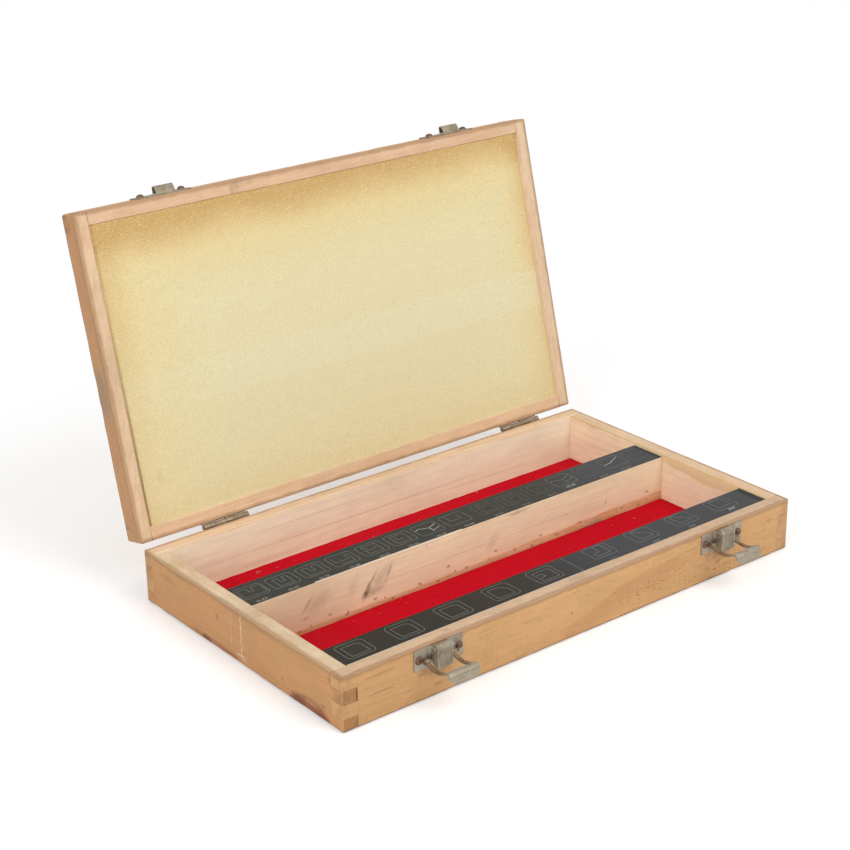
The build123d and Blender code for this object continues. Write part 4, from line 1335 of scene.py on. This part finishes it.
def draw_lines(name, lines, width, height, z):
    """Flat printed lines, each a list of points and whether it closes, as one thin mesh."""
    curve = bpy.data.curves.new(name, "CURVE")
    curve.dimensions = "2D"
    curve.fill_mode = "NONE"
    curve.bevel_depth = width / 2
    curve.bevel_resolution = 0
    for points, closed in lines:
        spline = curve.splines.new("POLY")
        spline.points.add(len(points) - 1)
        for point, (x, y) in zip(spline.points, points):
            point.co = (x, y, 0, 1)
        spline.use_cyclic_u = closed
    obj = as_mesh(linked(name, curve))
    obj.data.transform(Matrix.Translation((0, 0, z)) @ Matrix.Scale(2 * height / width, 4, (0, 0, 1)))
    outward(obj)
    return obj


def icon(x, y, width, depth, ink, shapes):
    """Lines of one icon with their inks: a rounded outline and the drawn shapes, which may be brighter."""
    outline = [(x + u, y + v) for u, v in rounded(width * MM, depth * MM, 2.8 * MM)]
    lines = [(outline, True, min(ink, PALE))]
    for shape, closed in shapes:
        lines.append(([(x + u * MM, y + v * MM) for u, v in shape], bool(closed), ink))
    return lines


def numbers(texts, height, z, lift):
    """Plain slanted numbers: each text, its place, its width and its ink."""
    pieces = []
    for body, x, y, width, ink in texts:
        obj = added(bpy.ops.object.text_add)
        obj.data.body = body
        obj.data.size = height / 0.7
        obj.data.shear = 0.25
        obj.data.align_x = "CENTER"
        obj.data.align_y = "CENTER"
        obj.data.extrude = lift
        obj.data.resolution_u = 2
        obj = as_mesh(obj)
        squeeze = width / max(obj.dimensions.x, MM)
        obj.data.transform(Matrix.Translation((x, y, z)) @ Matrix.Scale(squeeze, 4, (1, 0, 0)))
        paint(obj, bpy.data.materials[list(INKS)[ink]])
        pieces.append(obj)
    return pieces


def make_strip(context, node, name, lines, texts, paper):
    """A printed strip on its block, with its outlines and numbers. Bare paper shows between two places."""
    sizes = context.scene.case_sizes
    low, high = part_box(node)
    obj = welded_copy(node, name)
    edit(obj)
    cut_across(0, low.x, high.x, STRIP_CUTS)
    choose(obj, "FACE", lambda f: f.normal.z > 0.9)
    bpy.ops.mesh.inset(thickness=0.30 * MM, depth=0)
    leave_edit()
    for vert in obj.data.vertices:
        if vert.co.z > (low.z + high.z) / 2:
            vert.co.z += 0.05 * MM * noise.noise(Vector((vert.co.x * 21.0, vert.co.y * 30.0, 0.4)))
        vert.co.y += 0.16 * MM * noise.noise(Vector((vert.co.x * 32.0, vert.co.y * 4.0, 2.2)))
    smooth(obj, 30)
    paint(obj, bpy.data.materials["Printed strip"], bpy.data.materials["Strip paper"])
    for face in obj.data.polygons:
        at_edge = face.normal.z < 0.5 or face.center.y < low.y + 0.28 * MM
        face.material_index = int(at_edge and face.center.y < high.y - MM and paper[0] < face.center.x < paper[1])
    stand_for(obj, node, "base")
    top = high.z + 0.03 * MM
    marks = numbers(texts, 2.6 * MM, top, sizes.print_height)
    for ink, label in enumerate(INKS):
        drawn = [(points, closed) for points, closed, which in lines if which == ink]
        if drawn:
            width = sizes.print_width * (1.35 if ink == BRIGHT else 1.0)
            marks.append(draw_lines(name + "-lines", drawn, width, sizes.print_height, top))
            paint(marks[-1], bpy.data.materials[label])
    printed = join(marks, name + "-print")
    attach(printed, "base")


def divider_strip_design():
    """Fifteen icons in a row with a number in front of most."""
    lines, texts = [], []
    for i, (x, ink, *shapes) in enumerate(REAR_ICONS):
        y = 18.7 if i < 10 else 19.8
        lines += icon(x * MM, y * MM, 18.5 if i == 14 else 21.6, 17.3, ink, shapes)
    places = (-186, -159.6, -133, -106.4, -80, -53.6, -27.2, -.8, 28.3, 55.3, 82, 103.9, 136, 160)
    for i, x in enumerate(places):
        y, ink = (6.9, BRIGHT) if x == 103.9 else (3.9, NUMBER if i < 8 else PALE)
        texts.append((f"{25 * i}-{25 * (i + 1)}", x * MM, y * MM, 9 * MM, ink))
    return lines, texts


def front_strip_design():
    """Nine icons, a rule across the strip after the fifth, and four numbers."""
    lines, texts = [], []
    for i, (x, ink, *shapes) in enumerate(FRONT_ICONS):
        y, width, depth = (-94.9, 22.3, 19.3) if i < 5 else (-92.7, 22.0, 17.4)
        lines += icon(x * MM, y * MM, width, depth, ink, shapes)
    for i, (x, y, ink) in enumerate(((39.7, -108.0, WORN), (83.1, -107.2, PALE), (120.8, -106.2, PALE),
                                     (165.1, -104.0, BRIGHT))):
        texts.append((str(100 * (i + 1)), x * MM, y * MM, 7 * MM, ink))
    for ends, ink in ((((11.4, -83.1), (11.1, -107.9)), PALE), (((160, -107.6), (171, -107.6)), WORN)):
        lines.append(([(x * MM, y * MM) for x, y in ends], False, ink))
    return lines, texts


class CASE_OT_strips(bpy.types.Operator):
    """Make both printed strips with their outlines and numbers"""
    bl_idname = "case.strips"
    bl_label = "Printed strips"

    def execute(self, context):
        colours = context.scene.case_colours
        strip_finish(context)
        plain_finish("Strip paper", (0.80, 0.77, 0.70), 0.7)
        for name, strength in INKS.items():
            plain_finish(name, tinted(colours.ink, (strength,) * 3), 0.55, 0.25, 900.0)
        make_strip(context, "divider_label_strip", "divider-strip", *divider_strip_design(), (-0.145, -0.010))
        make_strip(context, "front_label_strip", "front-strip", *front_strip_design(), (-0.196, 0.040))
        return {"FINISHED"}


# ---- soft pieces ----

def grid(name, low, high, z, step):
    """A flat grid over a box's length and width, at a height."""
    span = high - low
    obj = added(bpy.ops.mesh.primitive_grid_add, x_subdivisions=int(span.x / step),
                y_subdivisions=int(span.y / step), size=1,
                location=((low.x + high.x) / 2, (low.y + high.y) / 2, z))
    obj.name = name
    obj.scale = (span.x, span.y, 1)
    bake_place(obj)
    return obj


def make_felt(context, node, name):
    """A felt laid on the floor of one bay, its cut edges a little wavy."""
    low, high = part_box(node)
    span = high - low
    centre = (low + high) / 2
    obj = grid(name, low, high, low.z, context.scene.case_sizes.felt_step)
    apply_modifier(obj, "SOLIDIFY", thickness=span.z, offset=1)
    for vert in obj.data.vertices:
        point = vert.co.copy()
        edge = min(span.x / 2 - abs(point.x - centre.x), span.y / 2 - abs(point.y - centre.y))
        pull = math.exp(-max(edge, 0.0) / (2.2 * MM))
        sway = noise.noise(Vector((point.x * 70.0, point.y * 70.0, 1.7)))
        vert.co.x -= math.copysign(abs(sway) * 0.35 * MM * pull, point.x - centre.x)
        vert.co.y -= math.copysign(abs(sway) * 0.45 * MM * pull, point.y - centre.y)
        if point.z > centre.z:
            swell = noise.noise(point * 16.0) * 0.12 + noise.noise(point * 170.0) * 0.09
            vert.co.z += (swell - 0.16 * pull) * MM
    outward(obj)
    smooth(obj, 60)
    paint(obj, felt_finish(context, name))
    stand_for(obj, node, "base")


def fibre(points, radius):
    """A thin bent fibre through points, as a mesh."""
    curve = bpy.data.curves.new("fibre", "CURVE")
    curve.dimensions = "3D"
    curve.bevel_depth = radius
    curve.bevel_resolution = 0
    curve.resolution_u = 3
    curve.use_fill_caps = True
    spline = curve.splines.new("NURBS")
    spline.points.add(len(points) - 1)
    for point, co in zip(spline.points, points):
        point.co = (*co, 1)
    spline.order_u = 3
    spline.use_endpoint_u = True
    return as_mesh(linked("fibre", curve))


def lay_fibres(fibres, name, finish):
    """Joins fibres into one piece that rides on the base."""
    whole = join(fibres, name)
    paint(whole, finish)
    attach(whole, "base")


def make_lint(context):
    """Loose fibres on the felts, with two longer curls and a bruise of fuzz at the divider's foot."""
    chance = random.Random(11)
    fibres = []
    beds = [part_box(node) for node in ("rear_floor_felt", "front_floor_felt")]
    for i in range(context.scene.case_sizes.lint_count):
        low, high = beds[i % 2]
        x = chance.uniform(low.x + 4 * MM, high.x - 4 * MM)
        y = chance.uniform(low.y + 3 * MM, high.y - 3 * MM)
        turn = chance.uniform(0, math.tau)
        reach = chance.uniform(0.4, 1.3) * MM
        bend = chance.uniform(-1.4, 1.4)
        points = [(x + reach * k * math.cos(turn + bend * k), y + reach * k * math.sin(turn + bend * k),
                   high.z + (0.10 + 0.10 * (k % 2)) * MM) for k in range(3)]
        fibres.append(fibre(points, chance.uniform(0.04, 0.07) * MM))
    for x, y, size in ((-125.6 * MM, 100.6 * MM, 2.6 * MM), (91.4 * MM, 105.5 * MM, 1.1 * MM)):
        top = beds[0][1].z
        curl = [(x + size * math.cos(CURL_TURN * k) * (1 - 0.08 * k),
                 y + size * math.sin(CURL_TURN * k) * (1 - 0.08 * k), top + (0.22 + 0.03 * k) * MM)
                for k in range(6)]
        fibres.append(fibre(curl, 0.14 * MM))
    lay_fibres(fibres, "felt-lint", plain_finish("Lint", (0.66, 0.40, 0.37), 0.9))
    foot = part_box("divider_block")[0]
    tufts = []
    for _ in range(70):
        x = 121 * MM + chance.gauss(0, 9 * MM)
        z = beds[1][1].z + abs(chance.gauss(0, 1.1 * MM))
        lift = chance.uniform(0.4, 1.6) * MM
        lean = chance.uniform(-1.6, 1.6) * MM
        points = [(x, foot.y + 0.1 * MM, z), (x + lean * 0.5, foot.y - lift * 0.7, z + lift * 0.3),
                  (x + lean, foot.y - lift, z + lift * chance.uniform(-0.3, 0.6))]
        tufts.append(fibre(points, chance.uniform(0.05, 0.1) * MM))
    lay_fibres(tufts, "torn-fuzz", plain_finish("Torn fuzz", (0.40, 0.33, 0.30), 0.9))


class CASE_OT_felts(bpy.types.Operator):
    """Lay both felts and the lint on them"""
    bl_idname = "case.felts"
    bl_label = "Felts"

    def execute(self, context):
        make_felt(context, "rear_floor_felt", "rear-felt")
        make_felt(context, "front_floor_felt", "front-felt")
        make_lint(context)
        return {"FINISHED"}


def shape_foam(obj, low, high, rise_at_edge):
    """Presses the foam's edges against the rails and gives its face a roll, a swell and pits."""
    centre = (low + high) / 2
    for vert in obj.data.vertices:
        point = vert.co.copy()
        for axis in (0, 1):
            if min(point[axis] - low[axis], high[axis] - point[axis]) < 0.1 * MM:
                vert.co[axis] += math.copysign(0.3 * MM, point[axis] - centre[axis])
        if point.z > centre.z:
            continue
        wander = noise.noise(point * 60.0) * 1.2 * MM
        sides = ((point.y - low.y, 0.05), (point.x - low.x, 1.3), (high.x - point.x, 1.0), (high.y - point.y, 0.5))
        roll = max(deep * math.exp(-max(gap + wander, 0.0) / (2.4 * MM)) for gap, deep in sides)
        swell = noise.noise(point * 9.0) * 0.45 + noise.noise(point * 40.0) * 0.15
        pitted = noise.noise(point * 520.0) * 0.16
        rise = rise_at_edge * math.exp(-(point.y - low.y) / (16 * MM))
        vert.co.z += (roll - swell - pitted) * MM - rise
        if point.x - low.x < 2 * MM:
            vert.co.x += (0.85 * MM + noise.noise(point * 80.0) * 0.4 * MM) * max(0.0, point.y + 0.05) / 0.16


class CASE_OT_foam(bpy.types.Operator):
    """Fit the foam sheet into the lid"""
    bl_idname = "case.foam"
    bl_label = "Foam"

    def execute(self, context):
        sizes = context.scene.case_sizes
        low, high = shut_box("lid_foam", SHUT)
        obj = grid("lid-foam-sheet", low, high, high.z, sizes.foam_step)
        edit(obj)
        bpy.ops.mesh.extrude_region_move(TRANSFORM_OT_translate={"value": (0, 0, low.z - high.z)})
        close_mesh()
        shape_foam(obj, low, high, sizes.foam_swell)
        obj.data.transform(OPEN)
        smooth(obj, 60)
        paint(obj, foam_finish(context))
        stand_for(obj, "lid_foam", "lid")
        return {"FINISHED"}


# ---- fittings ----

def make_fitting(context, node, material):
    """A pressed metal piece with its edges rolled a little."""
    obj = welded_copy(node, node.replace("_", "-"))
    edit(obj)
    soften(obj, context.scene.case_sizes.metal_softness, 2, lambda e: e.calc_length() > 0.3 * MM)
    weld(0.002 * MM)
    smooth(obj, 40)
    paint(obj, material)
    stand_for(obj, node, body_of_node(node))


class CASE_OT_latches(bpy.types.Operator):
    """Finish both toggle latches and their keepers"""
    bl_idname = "case.latches"
    bl_label = "Latches"

    def execute(self, context):
        nickel = tuple(context.scene.case_colours.nickel)
        plain = metal_finish(context, "Dulled nickel", nickel, 0.59, 0.46, marks=lever_faces)
        pale = metal_finish(context, "Bloomed nickel", tinted(nickel, (1.18, 1.20, 1.28)), 0.57, 0.50, 0.25,
                            marks=plate_shadows)
        brown = metal_finish(context, "Browned nickel", tinted(nickel, (0.92, 0.74, 0.62)), 0.55, 0.46, 0.45,
                             pale_from=19.5 * MM)
        for side in ("left", "right"):
            for part, finish in (("latch_plate", pale), ("latch_lever", plain), ("latch_bail", brown),
                                 ("keeper", plain)):
                make_fitting(context, f"{side}_{part}", finish)
            for part in ("lever_pin", "bail_pin"):
                paint(frame["nodes"][f"{side}_{part}"], brown)
        return {"FINISHED"}


class CASE_OT_hinges(bpy.types.Operator):
    """Finish both hinges"""
    bl_idname = "case.hinges"
    bl_label = "Hinges"

    def execute(self, context):
        bronze = metal_finish(context, "Tarnished bronze", tuple(context.scene.case_colours.bronze), 0.60, 0.42)
        for side in ("left", "right"):
            for part in ("hinge_base_leaf", "hinge_lid_leaf"):
                make_fitting(context, f"{side}_{part}", bronze)
            paint(frame["nodes"][f"{side}_hinge_pin"], bronze)
        return {"FINISHED"}


def slotted(obj, width, depth, top):
    """Cuts a driver slot across a screw head that faces +Z."""
    cutter = added(bpy.ops.mesh.primitive_cube_add, size=1, location=(0, 0, top))
    cutter.scale = (20 * MM, width, 2 * depth)
    bake_place(cutter)
    apply_modifier(obj, "BOOLEAN", operation="DIFFERENCE", object=cutter, solver="EXACT")
    discard(cutter)
    return obj


def turned(profile, sides):
    """A solid turned about Z through radius and height pairs, from its foot to its crown."""
    was_r, was_z = profile[0]
    obj = added(bpy.ops.mesh.primitive_circle_add, vertices=sides, radius=was_r, fill_type="NGON",
                location=(0, 0, was_z))
    bake_place(obj)
    edit(obj)
    for radius, height in profile[1:]:
        bpy.ops.mesh.extrude_region_move(TRANSFORM_OT_translate={"value": (0, 0, height - was_z)})
        grow = radius / was_r
        bpy.ops.transform.resize(value=(grow, grow, 1), center_override=(0, 0, height))
        was_r, was_z = radius, height
    close_mesh()
    return obj


def round_head(radius, height):
    """Round-head wood screw with a short shank, its seat at Z = 0."""
    profile = [(1.1 * MM, -3 * MM), (1.3 * MM, -0.05 * MM), (radius * 0.96, -0.05 * MM), (radius, 0.12 * MM)]
    for k in range(1, 7):
        angle = math.pi / 2 * k / 7
        profile.append((radius * math.cos(angle), 0.12 * MM + (height - 0.12 * MM) * math.sin(angle)))
    return slotted(turned(profile, 28), 0.9 * MM, 0.95 * MM, height)


def flat_head(radius, height):
    """Countersunk wood screw, its top at Z = 0."""
    profile = [(0.9 * MM, -3 * MM), (1.0 * MM, -height), (radius, -0.12 * MM), (radius * 0.97, 0.0)]
    return slotted(turned(profile, 24), 0.6 * MM, 0.6 * MM, 0.0)


def nail():
    """Small nail with a low head, its seat just below Z = 0."""
    return turned([(0.5 * MM, -4 * MM), (0.55 * MM, -0.1 * MM), (0.8 * MM, -0.1 * MM), (0.75 * MM, 0.06 * MM),
                   (0.45 * MM, 0.1 * MM)], 12)


def facing(point, direction, roll):
    """Matrix that stands a +Z piece at a point, along a direction, rolled about itself."""
    turn = direction.to_track_quat("Z", "Y").to_matrix().to_4x4()
    return Matrix.Translation(point) @ turn @ Matrix.Rotation(roll, 4, "Z")


class CASE_OT_screws(bpy.types.Operator):
    """Drive all the screws and nails"""
    bl_idname = "case.screws"
    bl_label = "Screws and nails"

    def execute(self, context):
        rusty = rusty_finish(context)
        stained = plain_finish("Stained nails", (0.45, 0.22, 0.11), 0.7)
        chance = random.Random(5)
        forward, backward = Vector((0, -1, 0)), Vector((0, 1, 0))
        kinds = (("latch_plate_screws", False, forward, "round"), ("keeper_screws", True, forward, "round"),
                 ("hinge_base_screws", False, backward, "flat"), ("hinge_lid_screws", True, backward, "flat"),
                 ("divider_brads", False, forward, "nail"))
        for node, lid, direction, kind in kinds:
            boxes = islands(node, SHUT if lid else STAY)
            low, high = boxes[0]
            radius = (high.z - low.z) / 2
            if kind == "round":
                seat = -HALF_D - PLATE_THICKNESS
                model = round_head(radius, seat - low.y)
            elif kind == "flat":
                seat = high.y
                model = flat_head(radius, 0.9 * MM)
            else:
                seat = low.y
                model = nail()
            copies = []
            for low, high in boxes:
                point = Vector(((low.x + high.x) / 2, seat, (low.z + high.z) / 2))
                place = facing(point, direction, chance.uniform(0, math.pi))
                copies.append(copy_of(model, (OPEN if lid else STAY) @ place))
            discard(model)
            piece = join(copies, node.replace("_", "-"))
            smooth(piece, 38)
            paint(piece, stained if kind == "nail" else rusty)
            stand_for(piece, node, body_of_node(node))
        return {"FINISHED"}


# ---- stage ----

WHITE = (1.0, 1.0, 1.0)
LAMP_TARGET = Vector((0.0, 0.05, 0.08))


def lamp(name, place, size, power):
    """A round lamp that faces the case."""
    light = bpy.data.lights.new(name, "AREA")
    light.shape = "DISK"
    light.size = size
    light.energy = power
    obj = linked(name, light)
    obj.location = place
    obj.rotation_mode = "QUATERNION"
    obj.rotation_quaternion = (LAMP_TARGET - Vector(place)).to_track_quat("-Z", "Y")


def show(t, lit, seen, kind):
    """Ends a material or a world: lit lights the scene, and seen is what is looked at or reflected."""
    path = t.add("LightPath", {})
    looked_at = t.most(path["Is Camera Ray"], t.most(path["Is Glossy Ray"], path["Is Transmission Ray"]))
    both = t.add("MixShader", {0: looked_at, 1: lit, 2: seen})[0]
    t.plug(next(n for n in t.tree.nodes if n.type == kind).inputs["Surface"], both)


def floor_finish(stage):
    """Pale floor that brightens to white away from the case."""
    material, t, place, _ = new_material("Floor")
    feed(t, Base_Color=stage.floor, Roughness=0.9, Specular_IOR_Level=0.0)
    pale = Outputs(t, principled(t).outputs)[0]
    lift = t.add("AddShader", {0: pale, 1: t.add("Emission", {"Color": WHITE, "Strength": stage.floor_lift})[0]})
    x, y, _ = t.parts(place)
    apart = t.length(t.join(t.most(abs(x) - HALF_L, 0.0), t.most(abs(y) - HALF_D, 0.0), 0.0))
    white = t.add("Emission", {"Color": WHITE, "Strength": 1.0})[0]
    show(t, pale, t.add("MixShader", {0: t.ramp(apart, 0.08, 0.75), 1: lift[0], 2: white})[0], "OUTPUT_MATERIAL")
    return material


def camera_matrix(stage):
    """The camera's place and turn from its azimuth, elevation, roll and distance."""
    az, el = stage.azimuth, stage.elevation
    back = Vector((math.sin(az) * math.cos(el), -math.cos(az) * math.cos(el), math.sin(el)))
    right = (-back).cross(Vector((0, 0, 1))).normalized()
    up = right.cross(-back)
    x = right * math.cos(stage.roll) + up * math.sin(stage.roll)
    y = -right * math.sin(stage.roll) + up * math.cos(stage.roll)
    turn = Matrix((x, y, back)).transposed().to_4x4()
    return Matrix.Translation(Vector(stage.target) + back * stage.distance) @ turn


class CASE_OT_stage(bpy.types.Operator):
    """Set the floor, the lamps, the room light and the camera"""
    bl_idname = "case.stage"
    bl_label = "Stage"

    def execute(self, context):
        stage = context.scene.case_stage
        floor = added(bpy.ops.mesh.primitive_plane_add, size=30, location=(0, 0, -0.2 * MM))
        floor.name = "floor"
        paint(floor, floor_finish(stage))
        lamp("key", (0.55, -2.3, 2.5), 1.7, stage.key_power)
        lamp("fill", (-2.4, -0.9, 1.6), 1.6, stage.fill_power)
        world = bpy.data.worlds.new("Room")
        context.scene.world = world
        world.use_nodes = True
        t = Tree(world.node_tree)
        room, white = (t.add("Background", {"Color": WHITE, "Strength": strength})[0]
                       for strength in (stage.room_light, 1.0))
        show(t, room, white, "OUTPUT_WORLD")
        camera = bpy.data.cameras.new("camera")
        camera.sensor_width = 36.0
        camera.lens = stage.lens
        camera.clip_start = 0.05
        camera.clip_end = 60.0
        obj = linked("camera", camera)
        obj.matrix_world = camera_matrix(stage)
        context.scene.camera = obj
        context.scene.view_settings.view_transform = "Standard"
        return {"FINISHED"}


# ---- add-on ----

STEPS = (CASE_OT_stage, CASE_OT_boards, CASE_OT_panels, CASE_OT_blocks, CASE_OT_strips, CASE_OT_felts,
         CASE_OT_foam, CASE_OT_latches, CASE_OT_hinges, CASE_OT_screws)


class CASE_PT_panel(bpy.types.Panel):
    """Steps and values of the case"""
    bl_idname = "CASE_PT_panel"
    bl_label = "Instrument Case"
    bl_space_type = "VIEW_3D"
    bl_region_type = "UI"
    bl_category = "Case"

    def draw(self, context):
        for step in STEPS:
            self.layout.operator(step.bl_idname)
        for group in (context.scene.case_sizes, context.scene.case_colours, context.scene.case_stage):
            for name in group.__annotations__:
                self.layout.prop(group, name)


CLASSES = (CaseSizes, CaseColours, CaseStage, *STEPS, CASE_PT_panel)


def register():
    for item in CLASSES:
        bpy.utils.register_class(item)
    bpy.types.Scene.case_sizes = PointerProperty(type=CaseSizes)
    bpy.types.Scene.case_colours = PointerProperty(type=CaseColours)
    bpy.types.Scene.case_stage = PointerProperty(type=CaseStage)


def unregister():
    del bpy.types.Scene.case_sizes
    del bpy.types.Scene.case_colours
    del bpy.types.Scene.case_stage
    for item in reversed(CLASSES):
        bpy.utils.unregister_class(item)


def main():
    register()
    make_groups()
    for name in ("stage", "boards", "panels", "blocks", "strips", "felts", "foam", "latches", "hinges",
                 "screws"):
        getattr(bpy.ops.case, name)()


if __name__ == "__main__":
    main()
